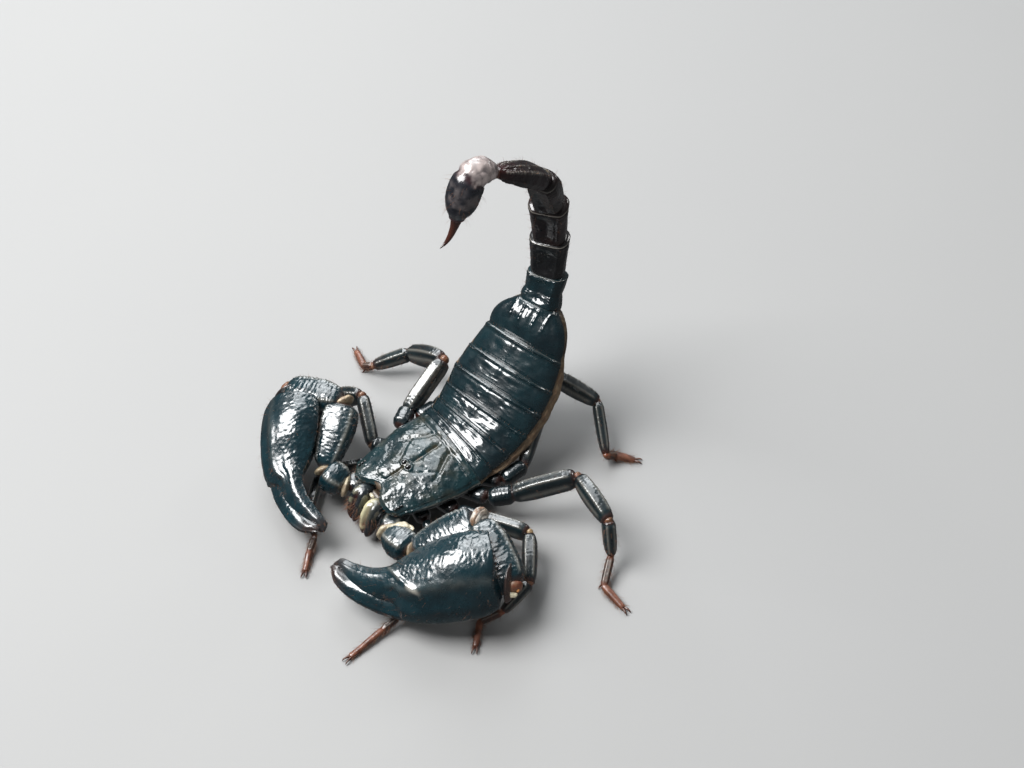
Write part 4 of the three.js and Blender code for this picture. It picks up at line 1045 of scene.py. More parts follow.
def build_tail(k):
    p, q, w0, w1, h0, h1 = TAIL[k]
    p, q = R[p], R[q]
    length = np.linalg.norm(q.c - p.c)
    nu, nv = 128, 150
    ts = 0.5 * np.linspace(0, 1, nu) + 0.5 * (0.5 - 0.5 * np.cos(np.linspace(0, np.pi, nu)))
    fs = [mix_frame(p, q, t) for t in ts]
    x, b, n = (np.array([getattr(f, m) for f in fs]) for m in "xbn")
    w = w0 + (w1 - w0) * ts
    h = h0 + (h1 - h0) * ts
    C = np.array([f.c for f in fs]) - n * h[:, None]
    flare = pchip(
        [0, 0.03, 0.09, 0.2, 0.35, 0.6, 0.85, 0.93, 0.965, 0.985, 1.0],
        [0.90, 0.95, 0.965, 0.965, 0.965, 0.985, 1.02, 1.035, 1.01, 0.93, 0.74],
        ts,
    )
    if k == 0:
        flare = np.maximum(flare, pchip([0, 0.05, 0.3, 1], [1.0, 1.1, 1.04, 0.0], ts))
    if k == 3:
        flare = flare * (1 - 0.13 * sstep(0.72, 1.0, ts))
    if k == 4:
        flare = pchip([0, 0.04, 0.12, 0.3, 0.5, 0.75, 0.9, 0.97, 1.0], [0.74, 0.80, 0.90, 1.04, 1.08, 0.98, 0.80, 0.66, 0.54], ts)
        C = C - n * (0.35 * np.sin(np.pi * ts))[:, None]
    o = spline_loop(TAIL_OUTLINE, np.arange(nv) / nv)
    # the furrow along the back fades out towards both ends
    plain = spline_loop([(0, 0.95), (0.42, 0.94)] + TAIL_OUTLINE[2:-1] + [(-0.42, 0.94)], np.arange(nv) / nv)
    furrow = (sstep(0.08, 0.25, ts) * (1 - sstep(0.70, 0.88, ts)))[:, None, None]
    o = o[None] * furrow + plain[None] * (1 - furrow)
    if k == 3:  # the underside draws in towards the bend
        o[..., 1] *= np.where(o[..., 1] < 0, 1 - 0.22 * sstep(0.55, 0.95, ts)[:, None], 1)
    if k == 4:
        o[..., 1] *= np.where(o[..., 1] < 0, 0.86 + 0.14 * sstep(0.1, 0.4, ts)[:, None], 1)
    C = C - b * ((0.42 if k else 0.1) - ((0.40 if k else 0.08) * ts))[:, None]
    P = C[:, None] + (w * flare)[:, None, None] * o[..., :1] * x[:, None] + (h * flare)[:, None, None] * o[..., 1:] * n[:, None]
    N = grid_normals(P)
    T = ts[:, None] * np.ones((1, nv))
    idx = (np.arange(nv) / nv * 15)[None, :]
    lift = np.zeros((nu, nv))
    crest = np.zeros((nu, nv))
    bead_glints = np.zeros((nu, nv))
    for place, height in TAIL_KEELS:
        off = (idx - place + 7.5) % 15 - 7.5
        e = gauss(off, 0, 0.26) * sstep(0.07, 0.16, T) * (1 - sstep(0.9, 0.945, T))
        ph = T * length / 0.62 + 0.3 * np.sin(T * 17 + place)
        bead = 0.42 + 0.58 * np.abs(np.sin(np.pi * ph)) ** 0.8
        rise = 0.75 + 0.5 * sstep(0.5, 0.9, T)
        # last segment: the lower keels rise higher, and their bead tops get pale paint that stands in for glints
        # (painted highlights)
        if k == 4 and 4 < place < 11:
            rise = rise * 2.6
            bead_glints = np.maximum(bead_glints, e * sstep(0.6, 0.95, bead))
        lift += height * e * bead * rise
        crest = np.maximum(crest, e)
    # the far end has a smooth raised rim, with a groove before it
    lift += (0.08 * gauss(T, 0.952, 0.009) - 0.06 * gauss(T, 0.925, 0.010)) * (1 if k < 4 else 0)
    lift += 0.22 * (fbm(P, 1.7, 100 + k, 2) - 0.5) + 0.06 * (fbm(P, 0.4, 110 + k) - 0.5)
    flank = (1 - crest) * sstep(0.1, 0.2, T) * (1 - sstep(0.85, 0.92, T))
    g = granules(P, 0.34, 120 + k, 0.30 if k < 3 else 0.45) * flank
    lift += (0.05 if k < 4 else 0.09) * g
    P = P + N * lift[..., None]
    # the pale line round each segment's far rim, brighter on the upper side, is a painted highlight
    top = sstep(-0.2, 0.6, o[..., 1])
    rim = gauss(T, 0.955, 0.006) * (0.1 + 0.9 * top)
    pale = np.clip(rim * (0.35, 0.45, 0.4, 0.25, 0.0)[k] + 0.34 * bead_glints * sstep(0.3, 0.6, fbm(P, 0.8, 128)), 0, 0.8)
    joint = np.clip((1 - sstep(0.0, 0.05, T)) * 0.5 + sstep(0.985, 1, T) * 0.8 + ((0.7 * gauss(T, 1.0, 0.16)) if k == 4 else 0), 0, 1)
    mat = (M_TERGITE, M_TAIL, M_TAIL_DARK, M_TAIL_DARK, M_TAIL_LAST)[k]
    Build().tube(P, {"joint": joint, "pale": pale, "grain": np.clip(g + 0.6 * crest, 0, 1)}).make(
        "tail_%d" % (k + 1), mat, "shell_gloss" if k < 2 else "tail_dark", "metasoma_%d" % (k + 1)
    )
    hair_body.on_grid(P, 26 + 8 * k, (0.5, 1.1), 0.018, (0.05, 0.62 + 0.05 * k, 0.95, 0.66 + 0.05 * k), where=crest * sstep(0.1, 0.3, T), seed=k, up=0.85)
    # soft neck that carries the next segment
    f = q
    m = 22
    u = np.linspace(-1, 1, m)
    hh, ww = h1, w1
    nxt = TAIL[k + 1] if k < 4 else (0, 0, 1.2, 1.2, 1.1, 1.1)
    ww = min(ww, nxt[2]) * 0.70
    hn = min(hh, nxt[4]) * 0.76
    cc = f.c - f.n * (0.5 * (h1 + nxt[4]))
    a = np.arange(48) / 48 * 2 * np.pi
    r = (0.96 + 0.05 * np.cos(u * 14)) * (1 - 0.35 * np.abs(u) ** 4)
    Q = (cc + 0 * f.b)[None, None] + (u * 0.9)[:, None, None] * f.b + (r[:, None] * ww * np.cos(a))[..., None] * f.x + (r[:, None] * hn * np.sin(a))[..., None] * f.n
    soft(Q, UMBER * 0.3 if k < 4 else A(0.06, 0.008, 0.006))


for k in range(5):
    build_tail(k)

TELSON = [
    ((1.38, 15.75, 62.95), 1.05), ((1.2, 14.6, 63.9), 1.75), ((0.95, 13.1, 64.75), 2.2), ((0.72, 11.5, 64.4), 2.45),
    ((0.57, 10.5, 62.9), 2.65), ((0.47, 9.8, 61.3), 2.6), ((0.38, 9.2, 59.7), 2.15), ((0.32, 8.85, 58.5), 1.5),
    ((0.3, 8.65, 57.8), 1.05),
]
STING = [
    ((0.31, 8.75, 58.2), 1.12), ((0.28, 8.5, 57.4), 0.86), ((0.2, 8.0, 56.1), 0.62), ((0.1, 7.25, 54.85), 0.45),
    ((-0.03, 6.4, 54.0), 0.29), ((-0.16, 5.6, 53.62), 0.13), ((-0.2, 5.25, 53.5), 0.03),
]
FORWARD = unit(A(0, -1, 0.35))


def build_telson():
    P, q, ang, (C, tan, d, l, r) = tube_path([p for p, _ in TELSON], [v for _, v in TELSON], FORWARD, 150, 132)
    T = q[:, None] * np.ones((1, 132))
    N = grid_normals(P)
    # a shallow groove runs down each side, and rows of grains below
    deg = np.degrees(ang)[None, :]
    lift = np.zeros(T.shape)
    below = np.zeros(T.shape)
    for a0 in (200, 250, 290, 340):
        off = (deg - a0 + 180) % 360 - 180
        e = gauss(off, 0, 7) * sstep(0.3, 0.4, T) * (1 - sstep(0.8, 0.9, T))
        below = np.maximum(below, e)
        lift += 0.10 * e * (0.4 + 0.6 * np.abs(np.sin(T * 60 + a0)))
    lift += 0.10 * (fbm(P, 1.5, 140) - 0.5) + 0.04 * (fbm(P, 0.45, 141) - 0.5)
    lift += 0.05 * granules(P, 0.4, 142, 0.4) * sstep(0.3, 0.45, T)
    # the neck is thin folded skin; its pale colour below is a painted glare highlight
    neck = (1 - sstep(0.35, 0.40, T + 0.14 * (fbm(P, 1.2, 143) - 0.5))) * sstep(0.03, 0.09, T)
    crease = 1 - np.abs(2 * fbm(P, 1.0, 144, 2) - 1)
    lift += neck * (0.34 * (fbm(P, 1.3, 145, 3) - 0.5) - 0.13 * crease**6 + 0.12 * gauss(T, 0.22, 0.12))
    lift -= 0.30 * gauss(T, 0.385, 0.022)
    lift += 0.12 * gauss(T, 0.965, 0.02)
    P = P + N * lift[..., None]
    # the pale on the neck stands in for glare: painted highlight
    Build().tube(
        P,
        {"pale": np.clip(neck * (0.35 + 1.1 * fbm(P, 0.9, 146) - 0.5 * crease**6) + 0.16 * sstep(0.45, 0.75, fbm(P, 1.1, 147)) * sstep(0.42, 0.5, T) * (1 - sstep(0.7, 0.85, T)), 0, 0.95), "joint": np.clip(sstep(0.86, 1.0, T) + (1 - sstep(0.02, 0.09, T)) + 0.5 * gauss(T, 0.385, 0.02), 0, 1), "grain": 0.2 + 0.5 * below},
    ).make("telson_bulb", M_TELSON, "telson_slate", "telson_vesicle")
    hair_body.on_grid(P, 70, (0.7, 1.6), 0.02, (0.05, 0.9, 0.45, 0.98), where=sstep(0.35, 0.5, T) * (1 - sstep(0.95, 1, T)), seed=77, up=0.9)
    P, q, ang, _ = tube_path([p for p, _ in STING], [v for _, v in STING], FORWARD, 90, 48)
    N = grid_normals(P)
    T = q[:, None] * np.ones((1, 48))
    P = P + N * ((0.03 * (fbm(P, 0.6, 150) - 0.5)) * (1 - sstep(0.7, 1, T)))[..., None]
    Build().tube(P, {"joint": np.clip(sstep(0.45, 0.9, T), 0, 1), "grain": 0.1}).make("sting", M_STING, "sting_brown", "aculeus")


build_telson()

# ------------------------------------------------------------------ mouth
# across, forward, drop from the front ring's middle, radius
CHEL = [(0.55, 0.0, 2.9, 1.15), (0.6, 0.6, 2.5, 1.4), (0.75, 1.9, 2.1, 1.7), (1.0, 2.9, 3.0, 1.75), (1.2, 3.6, 3.8, 1.55), (1.35, 4.1, 4.4, 1.1)]


def build_chelicerae():
    f = R["front"]

    def mouth_at(xx, fwd, drop):
        return f.c + f.x * xx - f.b * fwd - f.n * drop

    for name, side in (("left", 1), ("right", -1)):
        off = 2.15 if side > 0 else 1.85
        mid = lambda p, extra=0.0: mouth_at(p[0] + side * (off + extra), p[1], p[2])
        P, q, ang, (C, tan, d, l, r) = tube_path([mid(p) for p in CHEL], [p[3] for p in CHEL], f.n, 100, 96, 0.9)
        T = q[:, None] * np.ones((1, 96))
        deg = np.degrees(ang)[None, :]
        near = lambda a, w: gauss((deg - a + 180) % 360 - 180, 0, w)
        # the side that faces the other jaw
        inner = 180.0 if np.dot(l[50], f.x) * side > 0 else 0.0
        to_inner = 1 if inner == 180.0 else -1
        N = grid_normals(P)
        lift = 0.10 * (fbm(P, 0.9, 160) - 0.5) + 0.05 * (fbm(P, 0.45, 166) - 0.5)
        lift += 0.12 * near(90 + to_inner * 38, 16) * sstep(0.25, 0.45, T) + 0.10 * near(90 - to_inner * 30, 18) * sstep(0.25, 0.45, T)
        slot = near(90 + to_inner * 4, 13) * sstep(0.34, 0.52, T)
        lift -= 0.38 * slot
        P = P + N * lift[..., None]
        pale = np.zeros(T.shape)
        if side > 0:
            pale = 1.1 * near(90 + to_inner * 58, 44) * sstep(0.22, 0.32, T)
        else:
            pale = 0.35 * near(90 + to_inner * 85, 20) * sstep(0.3, 0.5, T) + 0.22 * near(90 - to_inner * 30, 34) * sstep(0.45, 0.6, fbm(P, 0.8, 169)) * sstep(0.2, 0.4, T)
        out = Build()
        out.tube(P, {"joint": np.clip(1.0 * slot + 0.3 * sstep(0.8, 1.0, T), 0, 1), "pale": np.clip(pale, 0, 1) * (0.8 + 0.2 * fbm(P, 0.8, 167)), "grain": 0.2})
        # fixed finger on the inner side, movable finger on the outer side, both hooked and toothed
        for kind, pts, rad in (
            ("fixed", [(1.1, 3.1, 3.1, -0.85), (1.35, 3.95, 4.1, -0.9), (1.6, 4.7, 5.1, -0.8), (1.75, 5.2, 5.9, -0.55)], [0.9, 0.82, 0.55, 0.07]),
            ("moving", [(1.05, 3.0, 3.2, 0.75), (1.3, 3.9, 4.25, 0.85), (1.55, 4.65, 5.3, 0.65), (1.7, 5.05, 6.15, 0.25)], [1.0, 0.92, 0.62, 0.07]),
        ):
            path = [mid((a_, b_, c_), e_) for a_, b_, c_, e_ in pts]
            Q, qq, an, (Cc, tn, dd, ll, rr) = tube_path(path, rad, f.n, 60, 40)
            Qn = grid_normals(Q)
            TQ = qq[:, None] * np.ones((1, 40))
            Q = Q + Qn * (0.10 * (fbm(Q, 0.6, 165) - 0.5) + 0.05 * granules(Q, 0.35, 168, 0.5) * (1 - sstep(0.5, 0.7, TQ)))[..., None]
            dark = np.clip(sstep(0.45, 0.85, TQ), 0, 1)
            cream = 0.85 * (1 - sstep(0.55, 0.8, TQ)) if (kind == "fixed" and side > 0) else 0.0 * TQ
            out.tube(Q, {"joint": dark, "pale": cream, "grain": 0.15})
            inward = f.x * side * (1 if kind == "fixed" else -1)
            for s_ in (0.45, 0.6, 0.74, 0.86):
                i = int(s_ * 59)
                base = Cc[i] + inward * rr[i] * 0.8
                tooth, *_ = tube_path([base, base + inward * 0.18, base + inward * 0.32 - f.n * 0.06], [0.17, 0.12, 0.02], f.b, 10, 10)
                out.tube(tooth, {"joint": 1.0})
        out.make("chelicera_shell_" + name, M_MOUTH, "shell_gloss", "chelicera_" + name)
        where = sstep(0.5, 0.8, T) * (1 - sstep(0.97, 1, T))
        hair_body.on_grid(P, 110, (0.6, 1.9), 0.026, (0.5, 0.9 + 0.04 * (side > 0), 0.95, 0.93 + 0.04 * (side > 0)), where=where, seed=200 + side, up=0.5, lie=-f.b * 0.5 - f.n * 1.1)
    # soft dark skin behind the jaws and a pale fold over the left one
    for cx, fwd, drop, r in ((0.5, 0.4, 3.0, (1.3, 2.6, 1.2)), (0.6, 0.2, 4.6, (1.2, 2.0, 1.4))):
        soft(ellipsoid(mouth_at(cx, fwd, drop), (-f.b, f.x, f.n), r, 34, 44, 5, 0.05), UMBER)
    soft(ellipsoid(mouth_at(0.9, 1.0, 1.25), (-f.b, f.x, f.n), (0.32, 0.6, 0.22), 24, 28, 3, 0.08), CREAM)


build_chelicerae()

# ------------------------------------------------------------------ claws
PALPS = {
    "left": dict(side=1, base=A(1.4, -6.0, 3.9), coxa=A(4.7, -15.05, 4.6), trochanter=A(11.1, -15.5, 5.6), femur=A(17.6, -6.1, 10.6), patella=A(30.0, -11.5, 9.2), tip=A(2.9, -25.5, 6.3)),
    "right": dict(side=-1, base=A(-4.4, -5.0, 3.9), coxa=A(-7.2, -13.0, 4.8), trochanter=A(-11.6, -13.9, 6.2), femur=A(-16.6, -3.6, 11.1), patella=A(-27.1, -7.8, 9.6), tip=A(-2.3, -22.1, 6.3)),
}
HAND = [(-0.92, 0.86), (-0.25, 1.0), (0.42, 0.74), (0.86, 0.1), (1.0, -0.62), (0.45, -1.0), (-0.5, -0.86), (-1.0, -0.15), (-1.0, 0.45)]
HAND_STATIONS = np.array([
    (0.0, -1.3, 1.7, -1.5, 1.7), (0.035, -3.0, 2.9, -2.3, 3.5), (0.12, -4.6, 4.9, -3.4, 5.2), (0.25, -4.0, 6.2, -4.2, 5.4),
    (0.38, -2.8, 7.0, -4.7, 4.5), (0.49, -1.1, 7.3, -4.7, 2.9), (0.56, 0.5, 6.7, -4.2, 2.2), (0.61, 1.4, 5.2, -2.4, 1.95),
    (0.68, 1.75, 4.7, -1.7, 1.6), (0.76, 1.55, 4.3, -1.4, 1.25), (0.87, 0.6, 3.1, -1.1, 0.8), (0.95, -0.3, 1.6, -0.7, 0.6),
    (1.0, -0.7, 0.3, -0.25, 0.4),
])
# the left hand swells further inward and upward, over the arm it is folded against
LEFT_SWELL = np.array([
    (0, 0), (0.9, 1.3), (1.5, 2.1), (1.5, 2.1), (1.5, 2.1), (1.9, 2.1), (2.0, 1.8), (1.6, 1.4), (0.8, 0.7), (0.4, 0.4), (0.1, 0.1), (0, 0), (0, 0),
])
FINGER_STATIONS = np.array([
    (0.52, 4.4, 6.2, -3.9, -2.4), (0.56, 3.6, 6.9, -4.5, -1.8), (0.64, 3.4, 6.9, -4.3, -1.4), (0.75, 3.4, 6.5, -3.6, -1.0),
    (0.87, 2.8, 5.5, -2.7, -0.6), (0.95, 2.0, 4.2, -1.7, -0.2), (1.0, 1.3, 2.3, -0.9, -0.1),
])
# the closed fingers lie against each other
HAND_STATIONS[:, 2] += 0.7 * sstep(0.57, 0.66, HAND_STATIONS[:, 0])
HAND_STATIONS[:, 3] -= 0.5 * sstep(0.57, 0.66, HAND_STATIONS[:, 0])
FINGER_STATIONS[:, 1] -= 0.6 * sstep(0.57, 0.66, FINGER_STATIONS[:, 0])
FINGER_STATIONS[:, 4] += 0.5 * sstep(0.57, 0.66, FINGER_STATIONS[:, 0])
PALP_TROCHANTER = [(0, 1.2, 1.1), (0.18, 2.3, 2.1), (0.5, 2.8, 2.5), (0.82, 2.6, 2.3), (1, 1.4, 1.3)]
PALP_FEMUR = [(0, 0.9, 0.9), (0.12, 2.0, 1.8), (0.35, 2.8, 2.3), (0.65, 3.3, 2.5), (0.88, 3.0, 2.3), (1, 1.5, 1.2)]
PALP_PATELLA = [(0, 1.2, 1.1), (0.12, 2.4, 2.2), (0.4, 3.2, 2.7), (0.7, 3.15, 2.6), (0.9, 2.5, 2.2), (1, 1.3, 1.2)]


def inside_limb(P, p0, p1, stations, grow, k=0.8):
    a, d, l = limb_axes(p0, p1)
    length = np.linalg.norm(p1 - p0)
    rel = P - p0
    t = rel @ a / length
    st = np.array(stations, float)
    w = pchip(st[:, 0], st[:, 1:3], np.clip(t, 0, 1).ravel()).reshape(t.shape + (2,))
    x, y = rel @ l, rel @ d
    r = np.abs(x / (w[..., 0] + grow)) ** (2 / k) + np.abs(y / (w[..., 1] + grow)) ** (2 / k)
    return (r < 1) & (t > -0.02) & (t < 1.02)


def build_palp(name, j):
    side = j["side"]
    a = unit(j["tip"] - j["patella"])
    length = np.linalg.norm(j["tip"] - j["patella"])
    h = unit(np.cross(Z, a))
    if h[1] > 0:
        h = -h
    v = unit(Z - a * a[2])
    palp_y = 0.05 if side > 0 else 0.55

    def box_grid(stations, t, q):
        w = pchip(stations[:, 0], stations[:, 1:], t)
        o = spline_loop(HAND, q)
        X = w[:, :1] + (w[:, 1:2] - w[:, :1]) * (o[None, :, 0] + 1) / 2
        Y = w[:, 2:3] + (w[:, 3:4] - w[:, 2:3]) * (o[None, :, 1] + 1) / 2
        c = j["patella"] + np.outer(0.15 + t * (length - 0.15), a)
        return c[:, None] + X[..., None] * h + Y[..., None] * v, c + ((w[:, 0] + w[:, 1]) / 2)[:, None] * h + ((w[:, 2] + w[:, 3]) / 2)[:, None] * v

    # --- the hand with its fixed finger
    nu, nv = 290, 210
    t = np.concatenate([np.linspace(0, 0.06, 22)[:-1], np.linspace(0.06, 0.97, nu - 40), np.linspace(0.97, 1, 20)[1:]])
    nu = len(t)
    q = np.arange(nv) / nv
    stations = HAND_STATIONS.copy()
    if side > 0:
        stations[:, 1] -= LEFT_SWELL[:, 0]
        stations[:, 4] += LEFT_SWELL[:, 1]
    P, mid = box_grid(stations, t, q)
    _, core = box_grid(HAND_STATIONS, t, q)
    # the tip closes to a hooked point
    close = np.sqrt(np.clip((1 - t) / 0.035, 0.0, 1)) * 0.97 + 0.03
    P = mid[:, None] + (P - mid[:, None]) * close[:, None, None]
    P = P - (0.5 * sstep(0.9, 1.0, t) ** 2)[:, None, None] * v - (0.45 * sstep(0.92, 1.0, t) ** 2)[:, None, None] * (-h)
    T = t[:, None] * np.ones((1, nv))
    Q9 = (q * 9)[None, :] * np.ones((nu, 1))

    def at(place, width):
        off = (Q9 - place + 4.5) % 9 - 4.5
        return gauss(off, 0, width)

    palm = sstep(0.03, 0.10, T) * (1 - sstep(0.56, 0.70, T))
    finger = sstep(0.56, 0.66, T)
    lift = np.zeros(T.shape)
    # keels: between upper and outer faces, low on the outer face, and along the inner edge
    lift += 0.30 * at(2.35, 0.20) * palm * sstep(0.1, 0.3, T)
    lift += 0.20 * at(3.4, 0.20) * palm * sstep(0.14, 0.3, T)
    lift += 0.26 * at(4.05, 0.22) * palm
    lift += 0.22 * at(8.6, 0.3) * palm
    lift -= 0.16 * at(2.85, 0.24) * palm * sstep(0.2, 0.4, T)
    lift -= 0.12 * at(1.7, 0.2) * palm * sstep(0.25, 0.45, T)
    lift += 0.16 * at(1.2, 0.5) * sstep(0.5, 0.7, T) * (1 - sstep(0.93, 1.0, T))
    # swollen rim where the movable finger hinges
    lift += 0.30 * gauss(T, 0.545, 0.014) * (at(4.4, 1.0) + at(5.3, 1.0))
    rough = np.clip(at(0.6, 1.3) + at(8.2, 0.9) + 0.35 * at(5.5, 1.0), 0, 1) * (palm + 0.35 * finger * (1 - sstep(0.85, 0.95, T)))
    rough = rough * (0.25 + 0.75 * (1 - sstep(0.9, 1.2, at(3.4, 0.9))))
    g1 = granules(P, 0.56, 300, 0.92, 0.62)
    g2 = granules(P, 0.36, 301, 0.7, 0.55)
    lift += rough * (0.10 * g1 + 0.035 * g2)
    smooth_face = at(3.6, 0.8) * palm
    lift += smooth_face * 0.05 * granules(P, 1.1, 302, 0.9, 0.7)
    lift += 0.20 * (fbm(P, 3.0, 303) - 0.5) + 0.04 * (fbm(P, 1.0, 304) - 0.5)
    # a ridge runs across the left hand from the root of its fixed finger; the pale paint along it further down is a
    # painted highlight
    e0, e1, across = A(12.6, -22.2, 9.4), A(20.5, -22.5, 9.0), A(-0.0504, -0.9244, -0.3781)
    along = (P - e0) @ unit(e1 - e0) / np.linalg.norm(e1 - e0)
    ridge = gauss((P - e0) @ across + 0.12 * np.sin(along * 9), 0, 0.30 + 0.12 * along) * sstep(-0.05, 0.05, along) * (1 - sstep(0.78, 1.02, along))
    ridge = ridge * sstep(-1.0, 1.5, (P - mid[:, None]) @ v) * (side > 0)
    lift += ridge * (0.28 + 0.25 * (fbm(P, 0.8, 306) - 0.5))
    N = grid_normals(P)
    P = P + N * lift[..., None]
    # the hand's base lies against the patella and femur, not through them
    lam = np.linspace(0.3, 1, 60)
    hit = np.ones(T.shape)
    centre = mid[:, None] + (a * 0.0)
    rows = t < 0.45
    Pr, Cr = P[rows], np.broadcast_to(core[rows][:, None], P[rows].shape)
    best = np.ones(Pr.shape[:2])
    found = np.zeros(Pr.shape[:2], bool)
    for lm in lam:
        pt = Cr + (Pr - Cr) * lm
        ins = inside_limb(pt, j["femur"], j["patella"], PALP_PATELLA, 0.22) | inside_limb(pt, j["trochanter"], j["femur"], PALP_FEMUR, 0.2)
        new = ins & ~found
        best[new] = max(lm - 0.012, 0.3)
        found |= ins
    # only a wrist hidden in the joint may stay through
    wrist = sstep(0.015, 0.05, T[rows])
    best = 1 + (best - 1) * wrist
    best = (best + np.roll(best, 1, 1) + np.roll(best, -1, 1)) / 3
    P[rows] = Cr + (Pr - Cr) * best[..., None]
    crest = np.clip(at(2.35, 0.2) + at(4.05, 0.22), 0, 1) * palm
    joint = np.clip((1 - sstep(0.0, 0.06, T)) * 0.9 + 0.55 * sstep(0.86, 1.0, T) + 0.35 * gauss(T, 0.56, 0.02) * at(4.8, 1.2), 0, 1)
    pale = np.clip(0.10 * crest * fbm(P, 0.8, 305), 0, 0.3)
    # pale paint along the left hand's ridge, growing towards its far end: painted highlight
    wear_and_highlight = np.clip(ridge * (0.25 + 1.2 * sstep(0.45, 0.95, along)) * sstep(0.30, 0.55, fbm(P, 0.9, 307)), 0, 1)
    pale = np.clip(pale + 0.62 * wear_and_highlight, 0, 0.75)
    hand = Build().tube(P, {"joint": joint, "pale": pale, "grain": np.clip(rough * g1 + 0.15, 0, 1)})
    # teeth along the cutting edge of the fixed finger, facing the movable one
    edge = int(round(5.0 / 9 * nv))
    for s in np.linspace(0.60, 0.955, 26):
        i = int(np.argmin(np.abs(t - s)))
        big = 1.9 if abs(s - 0.655) < 0.01 or abs(s - 0.80) < 0.01 else 1.0
        c = P[i, edge]
        m = N[i, edge]
        hand.tube(ellipsoid(c, (m, a, np.cross(m, a)), (0.22 * big, 0.2 * big, 0.17 * big), 9, 10), {"joint": 0.35, "grain": 0.1})
    hand.make("claw_hand_" + name, M_CLAW, "claw_gloss", "palp_hand_" + name)
    hair_arms.on_grid(P, 330, (0.35, 1.1), 0.02, (0.02, palp_y, 0.48, palp_y + 0.2), where=sstep(0.5, 0.7, T) + 0.25 * palm, seed=310 + side, up=0.8)

    # --- movable finger
    tf = np.concatenate([np.linspace(0.52, 0.56, 14)[:-1], np.linspace(0.56, 1.0, 110)])
    nf = 120
    qf = np.arange(nf) / nf
    F, mf = box_grid(FINGER_STATIONS, tf, qf)
    close = np.minimum(np.sqrt(np.clip((1 - tf) / 0.04, 0.0, 1)) * 0.97 + 0.03, np.sqrt(np.clip((tf - 0.52) / 0.02, 0.1, 1)))
    F = mf[:, None] + (F - mf[:, None]) * close[:, None, None]
    F = F + (0.35 * sstep(0.88, 1.0, tf) ** 2)[:, None, None] * v
    TF = tf[:, None] * np.ones((1, nf))
    QF = (qf * 9)[None, :] * np.ones((len(tf), 1))
    atf = lambda place, width: gauss((QF - place + 4.5) % 9 - 4.5, 0, width)
    NF = grid_normals(F)
    g = granules(F, 0.5, 320, 0.7)
    lift = 0.16 * atf(3.2, 0.3) + 0.14 * atf(4.6, 0.3) + 0.05 * g * (1 - sstep(0.8, 0.9, TF)) + 0.10 * (fbm(F, 1.6, 321) - 0.5)
    lift = lift - 0.12 * atf(3.9, 0.3)
    F = F + NF * lift[..., None]
    fing = Build().tube(F, {"joint": np.clip((1 - sstep(0.53, 0.585, TF)) * 0.9 + 0.6 * sstep(0.85, 1.0, TF), 0, 1), "grain": 0.3 * g})
    edge = int(round(0.2 / 9 * nf))
    for s in np.linspace(0.60, 0.95, 26):
        i = int(np.argmin(np.abs(tf - s)))
        big = 1.8 if abs(s - 0.70) < 0.01 else 1.0
        m = NF[i, edge]
        fing.tube(ellipsoid(F[i, edge], (m, a, np.cross(m, a)), (0.2 * big, 0.19 * big, 0.16 * big), 9, 10), {"joint": 0.35, "grain": 0.1})
    fing.make("claw_finger_" + name, M_CLAW, "claw_gloss", "palp_finger_" + name)
    hair_arms.on_grid(F, 150, (0.35, 1.0), 0.02, (0.5, palp_y, 0.7, palp_y + 0.2), seed=330 + side, up=0.8)
    # soft hinge under the finger's root
    c = j["patella"] + a * length * 0.535 + h * 4.9 - v * 2.7
    soft(ellipsoid(c, (a, h, v), (1.5, 1.9, 1.5), 26, 32, 4, 0.05), TAN)

    # --- the arm
    spec = [
        ("trochanter", "coxa", "trochanter", PALP_TROCHANTER, dict(nu=90, nv=84, keels=[(50, 0.2, 9, 0.6, 0.1, 0.9), (130, 0.2, 9, 0.6, 0.1, 0.9), (270, 0.15, 9, 0.6, 0.1, 0.9)], grain=(0.12, 0.55))),
        ("femur", "trochanter", "femur", PALP_FEMUR, dict(nu=140, nv=96, keels=[(48, 0.26, 7, 0.62, 0.06, 0.94), (132, 0.26, 7, 0.62, 0.06, 0.94), (228, 0.2, 7, 0.62, 0.06, 0.94), (312, 0.2, 7, 0.62, 0.06, 0.94)], grain=(0.13, 0.55))),
        ("patella", "femur", "patella", PALP_PATELLA, dict(nu=140, nv=104, keels=[(52, 0.28, 7, 0.62, 0.05, 0.92), (128, 0.28, 7, 0.62, 0.05, 0.92), (5, 0.14, 8, 0.62, 0.1, 0.9), (175, 0.18, 8, 0.62, 0.1, 0.9), (235, 0.2, 7, 0.62, 0.05, 0.92), (305, 0.2, 7, 0.62, 0.05, 0.92)], grain=(0.14, 0.6))),
    ]
    for i, (node_name, p0, p1, st, kw) in enumerate(spec):
        P, at_ = limb(j[p0], j[p1], st, seed=340 + i, grain_share=0.85, ends=(0.8, 0.9), g0=0.1, g1=0.1, **kw)
        Build().tube(P, at_).make("claw_%s_%s" % (node_name, name), M_CLAW, "claw_gloss", "palp_%s_%s" % (node_name, name))
        hair_arms.on_grid(P, (40, 90, 90)[i], (0.35, 0.95), 0.02, (0.7 + 0.1 * i, palp_y, 0.78 + 0.1 * i, palp_y + 0.2), seed=350 + i + side, up=0.85)


